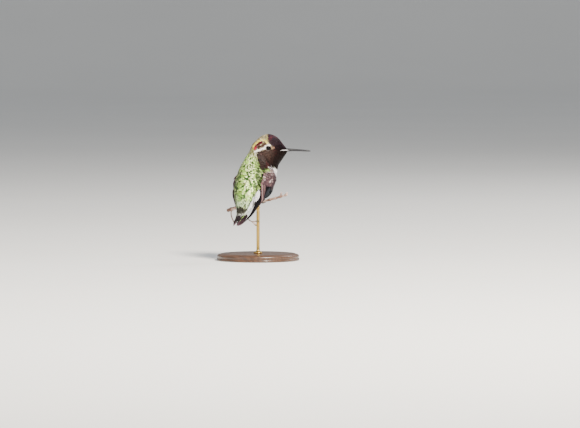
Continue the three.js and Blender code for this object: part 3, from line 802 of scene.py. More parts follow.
# The skin is the coat's own form drawn in by the coat's depth, and dips under each eye. Its colour
# is the coat's marks darkened as painted shade between the feathers, and near black as painted shade where
# the wings lie on it.
def makeSkin():
    s = skinForm
    at = np.linspace(0, 1, s["along"]) ** 1.15 * (lastStation + 0.35)
    angle = np.linspace(0, 2 * math.pi, s["around"], endpoint=False)
    at, angle = np.meshgrid(at, angle, indexing="ij")
    point, normal = coatFrame(at, angle)[:2]
    dip = s["dip"] * ease(awayFromEye(point), 2.6, 1.9)
    pore = s["pore"] * wander(point, 1.1, 8)
    body = closedTube(point - normal * (coatDepth(at) + dip - pore)[..., None])
    lids = [makeLid(hand) for hand in (1, -1)]
    mid, _, _ = coatMarks(at, angle, np.full(at.shape, 0.5))
    # Painted shade: the coat's marks darkened, with a little of the skin's own tone.
    tint = blend(mid * 0.45, tone(s["tone"]) * 0.4, 0.25)
    cover = wingCover(point.reshape(-1, 3), normal.reshape(-1, 3), 1.6).reshape(at.shape)
    # Painted shade: near black where the wings lie over the skin.
    tint = lay(tint, plumage["vane"], ease(cover, -1.0, -0.6))
    lidTint = np.broadcast_to(tone(lidForm["colour"]), (sum(len(points) for points, _ in lids), 3))
    points, faces = joinSets([body] + lids)
    material = noiseMaterial("birdSkin", (1400, 4, 0.8, 1.2), (2000, 2, 0.55, 0.8), (0.4, 0.00005, (3500, 3)),
                             **{"Specular IOR Level": 0.3})
    addPiece("skin", toFrame(points), faces, material, "body_feathers", ("head", "neck", "trunk", "rump"),
             tints={"tint": np.concatenate([tubeTint(tint), lidTint])})


# One vane as shares: across from -1 to 1, along from 0 to 1, a camber that lowers its sides
# and a thickness under its shaft. It is closed: a top of rows by columns, and a keel below.
# Its end is rounded and a little frayed.
def vaneShape(columns, rounding, fray, widths, seed):
    draw = np.random.default_rng(seed)
    u = np.linspace(-1, 1, columns)[None, :]
    v = np.array([0, 0.3, 0.58, 0.78, 0.89, 0.96, 1.0])[:, None]
    rows = len(v)
    along = v * (1 - rounding * u ** 2 * v)
    along[-1] += draw.uniform(-fray, fray, columns)
    along[-2] += draw.uniform(-fray, fray, columns) * 0.3
    margin = np.maximum(np.abs(u) ** 1.5 * v ** 0.5, v ** 2.2)
    top = np.arange(rows * columns).reshape(rows, columns)
    keel = rows * columns + np.arange(rows)
    left = np.stack([top[:-1, 0], top[1:, 0], keel[1:], keel[:-1]], -1)
    right = np.stack([keel[:-1], keel[1:], top[1:, -1], top[:-1, -1]], -1)
    rootCap = np.concatenate([[top[0, 0], keel[0]], top[0, :0:-1]])
    tipCap = np.concatenate([top[-1], [keel[-1]]])

    def withKeel(values, keelValues=0.0):
        return np.concatenate([np.broadcast_to(values, top.shape).ravel(), np.broadcast_to(keelValues, rows)])

    return {
        "across": withKeel(u * np.array(widths)[:, None]),
        "along": withKeel(along, (v * (1 - 0.04 * v))[:, 0]),
        "camber": withKeel(u ** 2),
        "under": withKeel(0.0, 1.0),
        "margin": withKeel(margin),
        "faces": [np.concatenate([gridFaces(rows, columns), left, right]), np.stack([rootCap, tipCap])],
    }


# Five shapes of each kind of small feather: columns, rounding, fray, widths and first seed.
def vaneSet(columns, rounding, fray, widths, seed):
    return [vaneShape(columns, rounding, fray, widths, seed + k) for k in range(5)]


scaleVanes = vaneSet(7, 0.03, 0.02, (0.5, 0.9, 1.0, 0.92, 0.72, 0.46, 0.16), 0)
bodyVanes = vaneSet(9, 0.05, 0.035, (0.5, 0.85, 1.0, 0.98, 0.86, 0.58, 0.2), 10)
looseVanes = vaneSet(9, 0.16, 0.11, (0.4, 0.75, 0.95, 0.92, 0.76, 0.52, 0.2), 20)
lockVanes = vaneSet(7, 0.3, 0.16, (0.1, 0.7, 0.95, 0.86, 0.68, 0.46, 0.15), 40)
covertVanes = vaneSet(9, 0.08, 0.03, (0.5, 0.85, 1.0, 0.97, 0.85, 0.6, 0.22), 60)


# A surface of two parameters as plantFeathers wants it, from its place function alone; its
# normal is the cross product's times side.
def frameOf(place, side=1.0, step=0.02, last=9.0):
    def surface(at, angle):
        at, angle = np.broadcast_arrays(np.asarray(at, float), np.asarray(angle, float))
        before = np.clip(at - step, 0, last - 2 * step)
        flow = (place(before + 2 * step, angle) - place(before, angle)) / (2 * step)
        sideways = (place(at, angle + step) - place(at, angle - step)) / (2 * step)
        normal = unit(np.cross(sideways, flow)) * side
        perAt, perAngle = np.linalg.norm(flow, axis=-1), np.linalg.norm(sideways, axis=-1)
        return place(at, angle), normal, flow, perAt, perAngle
    return surface


# The same, with its side chosen so that its normal agrees with a known outward direction.
def frameFacing(place, outward, at, angle, last):
    normal = frameOf(place, last=last)(np.array([at]), np.array([angle]))[1][0]
    side = 1.0 if normal @ outward > 0 else -1.0
    return frameOf(place, side=side, last=last), side


bakePatch = 0.003  # size of a feather's patch in the bake map


# Plants one vane for each root. A vane point goes its share of the length along the surface
# and of the half width across it, turned by twist, and stands above the surface by a height
# that climbs from the root's depth to the tip's lift. surface gives place, normal and flow.
# In the bake map each feather has a small patch at its root's own place. Each feather's colour
# darkens from its tip toward its root: painted shade under the overlapping feathers.
def plantFeathers(name, surface, roots, length, half, rootDepth, tipLift, marks, material, slot,
                  vanes, twist=0.0, roll=0.0, camber=0.16, thick=0.07, unwrap=(1, 1), flip=False,
                  paintedRootShade=0.55, base=0.0):
    count = len(roots)
    kind = np.arange(count) % len(vanes)
    each = [np.broadcast_to(np.asarray(value, float), (count,))
            for value in (length, half, rootDepth, tipLift, twist, roll, base)]
    mid, edge, shine = marks
    sets, kept = [], {"tint": [], "shine": [], "vane": [], "OFBake": []}
    for k, vane in enumerate(vanes):
        pick = kind == k
        if not pick.any():
            continue
        size, wide, deep, lift, turn, lean, floor = (value[pick][:, None] for value in each)
        _, _, _, perAt, perAngle = surface(roots[pick, 0], roots[pick, 1])
        along, across = size * vane["along"], wide * vane["across"]
        forward = along * np.cos(turn) - across * np.sin(turn)
        aside = along * np.sin(turn) + across * np.cos(turn)
        point, normal = surface(roots[pick, :1] + forward / perAt[:, None],
                                roots[pick, 1:] + aside / perAngle[:, None])[:2]
        share = vane["along"]
        height = (floor * (1 - share) - deep * np.clip(1 - share, 0, 1) ** 1.4 + lift * share ** 2
                  - camber * wide * vane["camber"] + lean * across - thick * vane["under"])
        point = point + normal * height[..., None]
        many, corners = point.shape[:2]
        starts = np.arange(many)[:, None, None] * corners
        sets.append((point.reshape(-1, 3), [(f + starts).reshape(-1, f.shape[1]) for f in vane["faces"]]))
        margin = ease(vane["margin"], 0.55, 0.95)[None, :, None]
        # Painted shade: the colour darkens toward the root, where the feathers lie under their neighbours.
        paintedShadeFactor = (paintedRootShade + (1 - paintedRootShade) * ease(share, 0.15, 0.7))[None, :, None]
        kept["tint"].append((blend(mid[pick][:, None], edge[pick][:, None], margin) * paintedShadeFactor).reshape(-1, 3))
        kept["shine"].append(np.repeat(shine[pick], corners))
        kept["vane"].append(np.stack([across, along], -1).reshape(-1, 2))
        patch = np.stack([vane["across"] / 2, vane["along"] - 0.5 - 0.1 * vane["under"]], -1) * bakePatch
        home = (roots[pick] / np.array(unwrap))[:, None, ::-1] % 1.0
        kept["OFBake"].append((home * 0.996 + 0.002 + patch).reshape(-1, 2))
    points, faces = joinSets(sets)
    addFeathers(name, points, faces, kept, material, slot, flip)
    print(name, count, "feathers,", sum(len(f) * (f.shape[1] - 2) for f in faces), "triangles")


# A piece of feathers, with its values for each vertex: two maps and two attributes.
def addFeathers(name, points, faces, kept, material, slot, flip, nodes=()):
    kept = {key: np.concatenate(values) for key, values in kept.items()}
    addPiece(name, toFrame(points), faces, material, slot, nodes, flip=flip,
             maps={key: kept[key] for key in ("OFBake", "vane")},
             tints={key: kept[key] for key in ("tint", "shine")})


wingForm = {
    # the right wing's two edges from shoulder to tip; along runs 0 to 9 from row to row
    "leading": [(3.6, -11.0, 24.4), (5.4, -12.4, 17.6), (3.0, -12.7, 12.7), (0.6, -12.2, 9.3),
                (-1.7, -11.5, 5.4), (-3.9, -10.1, 1.0), (-7.8, -7.6, -4.0), (-11.0, -5.4, -9.0),
                (-15.3, -3.8, -12.7), (-19.9, -2.9, -15.2)],
    "trailing": [(-1.4, -10.3, 24.6), (-5.8, -11.1, 20.4), (-9.6, -11.8, 15.4), (-11.8, -11.8, 11.4),
                 (-13.4, -11.4, 8.2), (-14.1, -10.4, 3.8), (-14.9, -8.9, -0.8), (-16.1, -6.5, -6.4),
                 (-18.4, -4.8, -10.6), (-21.2, -3.5, -14.2)],
    "bulge": 0.7,
    "edgeRound": 0.62,  # millimetres; how sharply the wing turns in at its leading edge
    "primaryFan": [(0.055, 0.068), (0.34, 0.058)],  # across at root and at tip: the first, and each step
    "primaryTips": [9.0, 8.78, 8.5, 8.15, 7.75, 7.3, 6.85, 6.4, 5.95, 5.55],  # outermost first
    # each secondary's tip, along and across, from the outermost in; the last two are tertials
    "secondaryTips": [(5.6, 0.27), (5.36, 0.37), (5.05, 0.47), (4.7, 0.57), (4.3, 0.66), (3.86, 0.74),
                      (3.4, 0.81), (3.0, 0.88)],
    "shoulderDrop": 1.15,  # how far the wing sinks into the body feathers at its shoulder
    # the left wing is held a little off the back: how far its trailing edge stands out, row by row
    "leftAjar": [0.3, 0.8, 1.3, 1.5, 1.5, 1.3, 1.0, 0.6, 0.2, 0.0],
    "ajarWay": [-0.643, 0.766, 0],
    "fleshReach": 2.3,  # how far along the wing's flesh goes under the coverts
    # rows of coverts, the long ones first: along of the roots, how many, length, half width
    "coverts": [(0.95, 10, 9.6, 1.12), (0.76, 10, 7.6, 1.05), (0.58, 10, 6.2, 1.0), (0.42, 10, 5.0, 0.95),
                (0.27, 10, 4.1, 0.9), (0.13, 9, 3.4, 0.85), (0.02, 8, 2.9, 0.8)],
    # small ones that wrap the leading edge, in rows of so many, with their length and half width
    "edgeCoverts": {"alongs": (0.0, 2.4, 11), "acrosses": (-0.20, 0.05), "count": 5, "length": 2.6,
                    "half": 0.7},
}


# A place on the folded wing: across runs 0 to 1 from leading to trailing edge, the middle
# rounds out by a sine, and below 0 the surface turns in round the leading edge.
def wingPlace(hand):
    mirror = np.array([1, -hand, 1])
    leading, trailing = (np.array(wingForm[edge]) * mirror for edge in ("leading", "trailing"))
    if hand > 0:
        trailing = trailing + np.outer(wingForm["leftAjar"], wingForm["ajarWay"])

    def place(along, across):
        first, last = curveThrough(leading, along), curveThrough(trailing, along)
        wide = last - first
        after, before = np.minimum(along + 0.1, 9), np.maximum(along - 0.1, 0)
        face = unit(np.cross(curveThrough(leading, after) - curveThrough(leading, before), wide))
        face = face * (np.sign(face[..., 1:2]) * hand)
        width = np.linalg.norm(wide, axis=-1)
        bow = wingForm["edgeRound"]
        turn = np.clip(-across * width / bow, 0, 2.2)
        past = np.maximum(-across * width / bow - 2.2, 0) * bow
        inside = np.maximum(across, 0)
        rise = wingForm["bulge"] * np.sin(math.pi * np.minimum(inside, 1))
        inward = rise - bow * (1 - np.cos(turn)) - past * math.sin(2.2)
        ahead = bow * np.sin(turn) + past * math.cos(2.2)
        return first + wide * inside[..., None] + face * inward[..., None] - unit(wide) * ahead[..., None]
    return place


coatRows = {
    "columns": 72,
    "stations": [0, 0.6, 2, 4, 5.5, 7, 9, 11, 13, 14],
    "rowStep": [0.22, 0.30, 0.46, 0.58, 0.82, 1.08, 1.35, 1.6, 2.0, 2.2],  # millimetres between rows
    "overlap": [2.4, 2.6, 3.0, 3.2, 3.1, 3.0, 3.1, 3.1, 2.7, 2.3],  # a feather's length in rows
    "widen": 0.78,  # half width as a share of the column's width
    "wobble": 0.19,
}


# Roots in rows that are even in real length, measured down each column of equal angle;
# every second column is set back by half a row.
def coatRoots():
    c = coatRows
    at = np.linspace(0, lastStation, 1401)
    roots = []
    for k in range(c["columns"]):
        angle = 2 * math.pi * k / c["columns"]
        line = coatPoint(at, np.full(at.shape, angle))
        step = np.interp((at[1:] + at[:-1]) / 2, c["stations"], c["rowStep"])
        rows = np.concatenate([[0], np.cumsum(np.linalg.norm(np.diff(line, axis=0), axis=1) / step)])
        wanted = np.arange(0.5 * (k % 2), rows[-1], 1.0)
        roots.append(np.stack([np.interp(wanted, rows, at), np.full(len(wanted), angle)], -1))
    roots = np.concatenate(roots)
    _, _, _, perAt, perAngle = coatFrame(roots[:, 0], roots[:, 1])
    step = np.interp(roots[:, 0], c["stations"], c["rowStep"])
    column = perAngle * 2 * math.pi / c["columns"]
    roots[:, 0] = np.maximum(roots[:, 0] + random.normal(0, c["wobble"], len(roots)) * step / perAt, 0)
    roots[:, 1] += random.normal(0, c["wobble"], len(roots)) * column / perAngle
    return roots, step, column


# How high the folded wing's outer face stands over coat points, or -1 where it doesn't cover
# them: the highest of the wing's points within reach, measured along the coat's normal.
def wingCover(points, normals, reach=0.75):
    cover = np.full(len(points), -1.0)
    along, across = np.meshgrid(np.linspace(0.05, 6.0, 90), np.linspace(0.02, 0.99, 34), indexing="ij")
    for hand in (1, -1):
        surface = frameOf(wingPlace(hand), side=-hand)
        spots, faces = surface(along, across)[:2]
        top = blend(wingTop(along) + 0.1, 0.4, ease(along, 2.6, 3.3))
        spots = (spots + faces * top[..., None]).reshape(-1, 3)
        mine = np.flatnonzero((points[:, 1] * hand > 4) & (points[:, 2] < 30) & (points[:, 2] > -8))
        for part in np.array_split(mine, 24):
            offset = spots[None] - points[part, None]
            high = np.einsum("pqk,pk->pq", offset, normals[part])
            flat = np.linalg.norm(offset - high[..., None] * normals[part, None], axis=-1)
            over = np.where((flat < reach) & (high > -1) & (high < 5), high, -1)
            cover[part] = np.maximum(cover[part], over.max(1))
    return cover


# Height of the coverts' layer over the wing's own surface; it sinks at the shoulder.
def wingTop(along):
    return 0.55 + 0.25 * ease(along, 0.2, 1.2) - wingForm["shoulderDrop"] * ease(along, 0.9, 0.0)


coatRegions = {
    # pieces of the coat: from and to which station, whether under the side line, and which line
    "foreheadFeathers": (-9, 2.9, False, 1.65),
    "crownFeathers": (2.9, 5.2, False, 1.65),
    "throatFeathers": (-9, 5.2, True, 1.65),
    "mantleFeathers": (5.2, 8.8, False, 1.65),
    "breastFeathers": (5.2, 8.8, True, 1.65),
    "backFeathers": (8.8, 99, False, 1.9),
    "bellyFeathers": (8.8, 99, True, 1.9),
}


# How far each feather's tip lifts. The beard is the gorget's lower edge, whose feathers are
# longer too, and the feathers on the nape stand up a little.
def coatLift(roots, ahead, height):
    below = height - markLine("gorgetEdge", ahead)
    beard = gorgetShare(ahead, height) * ease(below, 2.2, 0.3)
    loose = random.uniform(0, 0.10, len(roots)) * np.interp(roots[:, 0], [0, 5, 9], [0.25, 0.7, 1])
    nape = 0.55 * np.exp(-(((ahead + 2.8) / 2.2) ** 2 + ((height - 40.6) / 2.8) ** 2))
    return 0.02 + 0.35 * beard + loose + nape, beard


# Feathers above the wing ride over its edge, and those wholly under it are left out.
def overWing(roots, length, lift, tipAt, perAt):
    def cover(at):
        place, normal = coatFrame(at, roots[:, 1])[:2]
        return wingCover(place, normal), place

    underRoot, _ = cover(roots[:, 0])
    underTip, tipPoint = cover(tipAt)
    underTip = np.maximum(underTip, cover(roots[:, 0] + length / perAt)[0])
    riding = (underRoot < 0) & (underTip > -0.5)
    lift = np.where(riding, np.clip(underTip, 0, 3) + 0.25, lift)
    length = length * np.where(riding, 1.25, 1.0)
    hidden = (underRoot > 0.3) & (underTip > 0.3)
    hidden = hidden | riding & ((underTip > 1.7) | (tipPoint[:, 1] > 6) & (tipAt > 8.0))
    return length, lift, hidden


# Plants the body's feathers in seven pieces and returns their materials.
def makeCoat():
    c = coatRows
    roots, step, column = coatRoots()
    many = len(roots)
    length = step * np.interp(roots[:, 0], c["stations"], c["overlap"]) * random.uniform(0.9, 1.12, many)
    half = np.maximum(column * c["widen"], 0.16) * random.uniform(0.9, 1.1, many)
    perAt = coatFrame(roots[:, 0], roots[:, 1])[3]
    tipAt = roots[:, 0] + 0.75 * length / perAt
    marks = coatMarks(tipAt, roots[:, 1], random.uniform(0, 1, many))
    gap = np.minimum(*(awayFromEye(coatPoint(at, roots[:, 1])) for at in (roots[:, 0], tipAt)))
    lift, beard = coatLift(roots, *sidePlace(tipAt, roots[:, 1]))
    length, lift, hidden = overWing(roots, length * (1 + 0.7 * beard), lift, tipAt, perAt)
    depth = coatDepth(roots[:, 0])
    free = (gap > 2.45) & ~hidden
    turn = fromBack(roots[:, 1])
    materials = {
        "crown": featherMaterial("scaleFeather", 0.15, (0.38, 0.55), 0.3, 0.07, 0.08),
        "back": featherMaterial("backFeather", 0.22, (0.36, 0.52), 0.25, 0.08, 0.2),
        "belly": featherMaterial("bellyFeather", 0.22, (0.55, 0.75), 0.25, 0.07, 0.15),
    }
    for name, (first, last, under, line) in coatRegions.items():
        pick = (tipAt >= first) & (tipAt < last) & ((turn >= line) == under) & free
        onHead = name in ("foreheadFeathers", "crownFeathers", "throatFeathers")
        kind = "crown" if onHead else "belly" if under else "back"
        plantFeathers(name, coatFrame, roots[pick], length[pick], half[pick], depth[pick], lift[pick],
                      tuple(m[pick] for m in marks), materials[kind],
                      "head_feathers" if onHead else "body_feathers",
                      {"crown": scaleVanes, "belly": looseVanes, "back": bodyVanes}[kind],
                      twist=random.normal(0, 0.12, pick.sum()), roll=random.normal(0, 0.05, pick.sum()),
                      unwrap=(lastStation + 1, 2 * math.pi), camber=0.09 if onHead else 0.14,
                      thick=0.04 if onHead else 0.06)
    return materials


makeSkin()
print("skin made")
coatMaterials = makeCoat()


# Round each eye: a surface told by the distance from the eye's axis and the turn about it.
# Its height passes from the lid's rim to the coat, which is read there as a weighted mean of
# the coat points nearby.
def eyeSurface(hand):
    middle, axis, ahead, up = eyeFrame(hand)
    at, angle = np.meshgrid(np.linspace(1.2, 5.2, 90), np.linspace(0.3, 2.6, 90) * hand, indexing="ij")
    cloud = (coatPoint(at, angle) - middle).reshape(-1, 3)
    flat = np.stack([cloud @ ahead, cloud @ up], -1)
    near = np.hypot(*flat.T) < 5
    flat, high = flat[near], (cloud @ axis)[near]

    def place(reach, turn):
        drawn, rise = lidSquash(reach, turn)
        x, y = reach * np.cos(turn), reach * drawn * np.sin(turn)
        spots = np.stack([x.ravel(), y.ravel()], -1)
        weight = np.exp(-((spots[:, None] - flat[None]) ** 2).sum(-1) / 0.18)
        coat = ((weight * high).sum(1) / weight.sum(1)).reshape(x.shape)
        height = blend(eyeRing["lidHeight"] + rise, coat, ease(reach, eyeRing["inner"], eyeRing["outer"]))
        return middle + axis * height[..., None] + ahead * x[..., None] + up * y[..., None]
    return place


# Rings of small feathers round the eye: how far out, how many, length and half width.
eyeRing = {
    "lidHeight": 1.58,
    "inner": 1.70,
    "outer": 3.1,
    "rows": [(1.69, 28, 0.58, 0.20), (1.82, 30, 0.64, 0.21), (1.99, 30, 0.72, 0.22), (2.18, 32, 0.84, 0.25),
             (2.42, 34, 1.0, 0.28), (2.74, 36, 1.15, 0.32), (3.08, 36, 1.3, 0.36)],
}


# Their marks are the coat's, taken at the station and angle nearest to each tip.
def makeEyeRings():
    for hand, name in ((1, "Left"), (-1, "Right")):
        place = eyeSurface(hand)
        roots, size, half = [], [], []
        for k, (reach, count, length, wide) in enumerate(eyeRing["rows"]):
            turn = 2 * math.pi * (np.arange(count) + 0.5 * (k % 2)) / count
            reaches = reach + random.normal(0, 0.03, count)
            roots.append(np.stack([reaches, turn + random.normal(0, 0.03, count)], -1))
            size.append(np.full(count, length))
            half.append(np.full(count, wide))
        roots, size, half = (np.concatenate(values) for values in (roots, size, half))
        twist = 0.5 * ((2 * math.pi - roots[:, 1]) % (2 * math.pi) - math.pi)
        tips = roots + 0.7 * size[:, None] * np.stack([np.cos(twist), np.sin(twist) / roots[:, 0]], -1)
        at, angle = np.meshgrid(np.linspace(0.8, 5.6, 160), np.linspace(0.2, 2.8, 140) * hand, indexing="ij")
        grid = coatPoint(at, angle).reshape(-1, 3)
        nearest = ((place(*tips.T)[:, None] - grid[None]) ** 2).sum(-1).argmin(1)
        marks = coatMarks(at.ravel()[nearest], angle.ravel()[nearest], random.uniform(0, 1, len(roots)))
        surface, side = frameFacing(place, eyeFrame(hand)[1], *roots[0], 9.0)
        plantFeathers("eyeRing" + name, surface, roots, size, half, 0.12, 0.05, marks, coatMaterials["crown"],
                      "head_feathers", scaleVanes, twist=twist, unwrap=(9, 2 * math.pi), flip=side < 0,
                      camber=0.08, thick=0.035)


eyeForm = {"rings": 48, "around": 64, "pupil": 1.0, "iris": 1.7,
           "pupilColour": "#020202", "irisColour": "#0a0504", "rimColour": "#030202"}


# A ball about the eye's own axis; the angle from the axis gives pupil, iris and dark rim.
def makeEyes():
    e = eyeForm
    material = noiseMaterial("eyeball", (2500, 3, 0.75, 1.25), Roughness=0.07, IOR=1.33,
                             **{"Specular IOR Level": 0.22})
    radius = bodyForm["eyeRadius"]
    for hand, name in ((1, "Left"), (-1, "Right")):
        middle, axis, ahead, up = eyeFrame(hand)
        fall = np.linspace(0.02, math.pi - 0.02, e["rings"])[:, None]
        turn = np.linspace(0, 2 * math.pi, e["around"], endpoint=False)[None, :]
        rings = (middle + axis * (radius * np.cos(fall) * np.ones_like(turn))[..., None]
                 + ahead * (radius * np.sin(fall) * np.cos(turn))[..., None]
                 + up * (radius * np.sin(fall) * np.sin(turn))[..., None])
        points, faces = closedTube(rings)
        out = radius * np.sin(fall) + np.where(fall > math.pi / 2, 9, 0)
        inIris = ease(out, e["pupil"] - 0.05, e["pupil"] + 0.08)
        ring = blend(tone(e["pupilColour"]), tone(e["irisColour"]), inIris)
        ring = blend(ring, tone(e["rimColour"]), ease(out, e["iris"] - 0.15, e["iris"] + 0.1))
        addPiece("eye" + name, toFrame(points), faces, material, "eye", [f"eye_{name.lower()}"],
                 flip=hand < 0, tints={"tint": tubeTint(np.repeat(ring[:, None], e["around"], 1))})


tuftForm = {
    "count": 150,
    "stations": (9.85, 12.5),
    # stations with the band's middle, and with half its width, in degrees from the back
    "band": [(10.0, 59), (10.8, 61), (11.4, 62), (12.0, 65), (12.5, 70), (13.0, 76), (14.0, 82)],
    "wide": [(10.0, 3), (10.8, 6), (11.4, 8), (12.2, 9), (14.0, 9)],
    "length": (4.6, 6.4),
    "half": (0.55, 0.85),
}


# White tufts from the flanks: a band along the wing's upper edge. Each one's height is taken
# from the wing under its middle and its tip, and its twist leads its tip to the band's place.
def makeTufts():
    f = tuftForm
    n = f["count"]
    share = (np.arange(n) + 0.5) / n
    for hand, name in ((1, "Left"), (-1, "Right")):
        at = blend(*f["stations"], share ** 0.85) + random.normal(0, 0.08, n)
        aside = random.uniform(-1, 1, n)
        length = blend(*f["length"], random.uniform(0, 1, n)) * (0.8 + 0.25 * np.sin(math.pi * share))
        half = blend(*f["half"], random.uniform(0, 1, n))

        def bandAngle(station):
            middle, wide = (np.interp(station, *np.array(f[key], float).T) for key in ("band", "wide"))
            return hand * deg * (middle + aside * wide)

        root = bandAngle(at + 0.25)
        _, _, _, perAt, perAngle = coatFrame(at, root)
        tip = bandAngle(at + length / perAt)
        twist = np.arctan2((tip - root) * perAngle, length)
        underMiddle, underTip = (
            wingCover(*coatFrame(at + part * length / perAt, root + part * (tip - root))[:2])
            for part in (0.5, 1.0))
        keep = (underMiddle < 1.5) & (underTip < 1.7) if hand < 0 else (underMiddle < 0) & (underTip < 0)
        middle, end = np.clip(underMiddle, 0, 2.4), np.clip(underTip, 0, 2.4)
        rise = np.where(underTip > -0.5, end + 0.3, 0.5) + random.uniform(0, 0.2, n)
        base = np.where(middle > 0, 2 * middle - 0.5 * rise + 0.55, 0.1 + 0.3 * end)
        grey = 0.6 * random.uniform(0, 1, n) * ease(at, 11.6, 10.0)
        mid = lay(np.broadcast_to(plumage["tuft"], (n, 3)), plumage["tuftShade"], grey)[keep]
        plantFeathers("flankTuft" + name, coatFrame, np.stack([at, root], -1)[keep], length[keep],
                      half[keep], 0.7, rise[keep], (mid, mid * 0.96, np.zeros(keep.sum())),
                      coatMaterials["belly"], "body_feathers", lockVanes, twist=twist[keep],
                      unwrap=(lastStation + 1, 2 * math.pi), paintedRootShade=0.85, base=base[keep])


makeTufts()
makeEyeRings()
print("coat made")
makeEyes()
print("eyes made")


quillForm = {
    "rows": 66,
    "across": [-1, -0.88, -0.66, -0.42, -0.2, -0.07, 0.0, 0.07, 0.2, 0.42, 0.66, 0.88, 1],
    "under": [0.9, 0.45, 0.1, -0.1, -0.45, -0.9],
    "shaftRise": 0.10,
}


# One flight feather on a surface: along from start to tip, its shaft at centre (a curve over
# its length), two webs with widths in millimetres, its layer's height, and how its inner
# web slopes under. The end is rounded, some barbs part in notches, and the shell is closed.
# Returns rings, then along, share, u and web width at every ring point.
def quill(surface, start, tip, centre, outer, inner, layer, slope=0.12, thick=0.14, blunt=2.6, seed=0,
          notches=3, bounds=(0.0, 1.0), bend=None, tipPull=0.10):
    q = quillForm
    draw = np.random.default_rng(seed)
    s = (1 - (1 - np.linspace(0, 1, q["rows"])) ** 1.35)[:, None]
    u = np.array(q["across"] + q["under"])[None, :] * np.ones_like(s)
    under = np.array([0.0] * len(q["across"]) + [1.0] * len(q["under"]))[None, :]
    full = np.maximum((1 - s ** 7) ** (1 / blunt) * np.minimum(1, 0.45 + s / 0.22), 0.1)
    notch = np.zeros_like(u)
    for _ in range(notches):
        place, side, deep = draw.uniform(0.35, 0.97), draw.choice([-1, 1]), draw.uniform(0.25, 0.7)
        slant = place + 0.05 * np.abs(u)
        cut = np.exp(-((s - slant) / 0.012) ** 2)
        notch = np.maximum(notch, deep * cut * (u * side > 0) * np.abs(u) ** 3)
    ragged = 1 + (0.03 * np.sin(s * 61 + seed) + 0.02 * np.sin(s * 139 + 2 * seed)) * np.abs(u) ** 3
    middle = centre(s)
    at = start + (tip - start) * (s - tipPull * u ** 2 * s ** 5 * (tip > start))
    perAcross = surface(start + (tip - start) * s, middle)[4]
    room = np.where(u < 0, middle - bounds[0], bounds[1] - middle) * perAcross
    web = np.minimum(np.where(u < 0, outer, inner), np.maximum(room, 0.12)) * full * ragged
    across = middle + u * web * (1 - notch) / perAcross
    point, normal = surface(at, across)[:2]
    ridge = q["shaftRise"] * np.exp(-(u / 0.07) ** 2) * (1 - 0.75 * s)
    height = layer + ridge - slope * np.maximum(u, 0) - 0.05 * np.abs(u) ** 2
    height = height - under * thick * (1.05 - 0.7 * np.abs(u)) - under * ridge
    if bend is not None:
        height = height + bend(s, u)
    return point + normal * height[..., None], at, s * np.ones_like(u), u, web


# Many flight feathers as one piece. Each gets a strip of the bake map of its own.
def quillPiece(name, quills, colours, material, nodes, flip):
    sets, kept = [], {"tint": [], "shine": [], "vane": [], "OFBake": []}
    top = len(quillForm["across"])
    for k, (rings, at, s, u, web) in enumerate(quills):
        sets.append(closedTube(rings))
        colour, shine = colours(k, at, s, u)
        colour[:, top:] = blend(colour[:, top:], plumage["vaneUnder"], 0.7)
        steps = np.linalg.norm(np.diff(rings[:, top // 2], axis=0), axis=-1)
        length = np.concatenate([[0], np.cumsum(steps)])
        lower = np.arange(u.shape[1]) >= top
        strip = (k + 0.5 + np.where(lower, 0.25 + 0.2 * u, -0.22 + 0.22 * u)) / len(quills)
        values = {"tint": colour, "shine": shine[..., None], "OFBake": np.stack([strip, 0.01 + 0.98 * s], -1),
                  "vane": np.stack([u * web, np.repeat(length[:, None], u.shape[1], 1)], -1)}
        for key, value in values.items():
            flat = value.reshape(-1, value.shape[-1])
            kept[key].append(np.concatenate([flat, value[:1].mean(1), value[-1:].mean(1)]))
    addFeathers(name, *joinSets(sets), kept, material, "flight_feathers", flip, nodes)


# A shaft's place across the wing over its length: a straight run with a bow.
def lineFrom(first, last, bow=0.0):
    return lambda s: first + (last - first) * s + bow * np.sin(math.pi * s)


# Primaries: near black, their dusky brown darkened as painted shadow, with a slightly paler edge to the outer
# web.
def paintPrimaries(k, at, s, u):
    p = plumage
    # Painted shadow: the base colour is the dusky brown darkened to near black.
    tint = np.broadcast_to(p["vane"], u.shape + (3,)).copy()
    outer = ease(k, 3.5, 2.5) * ease(at, 5.6, 4.6)
    tint = lay(tint, p["vaneEdge"], 0.8 * ease(u, -0.7, -0.95))
    tint = lay(tint, p["primaryRim"], 0.75 * outer * ease(u, -0.5, -0.8))
    tint = lay(tint, p["shaft"], 0.75 * np.exp(-(u / 0.09) ** 2))
    cloud = wander(np.stack([at * 3, u * 0.7, s + k * 3.1], -1), 1.4, 2)
    return np.clip(tint * (0.92 + 0.16 * cloud)[..., None], 0.003, 1), np.zeros(u.shape)


# Secondaries: warm brown and cloudy, with a pale line beside the shaft and dark edges.
def paintSecondaries(k, at, s, u):
    p = plumage
    cloud = wander(np.stack([at * 2.2, u * 0.8, 0 * s + k * 2.7], -1), 1.6, 4)
    tint = p["vaneWarm"] * (0.95 + 0.22 * cloud)[..., None]
    tint = lay(tint, p["covertEdge"] * 0.8, 0.5 * np.exp(-((u + 0.25) / 0.2) ** 2))
    tint = lay(tint, p["vaneEdge"], 0.9 * ease(np.abs(u), 0.45, 0.8))
    tint = lay(tint, p["vane"], 0.9 * ease(s, 0.93, 0.985))
    tint = lay(tint, p["shaft"], 0.55 * np.exp(-(u / 0.08) ** 2))
    return np.clip(tint, 0.003, 1), np.zeros(u.shape)


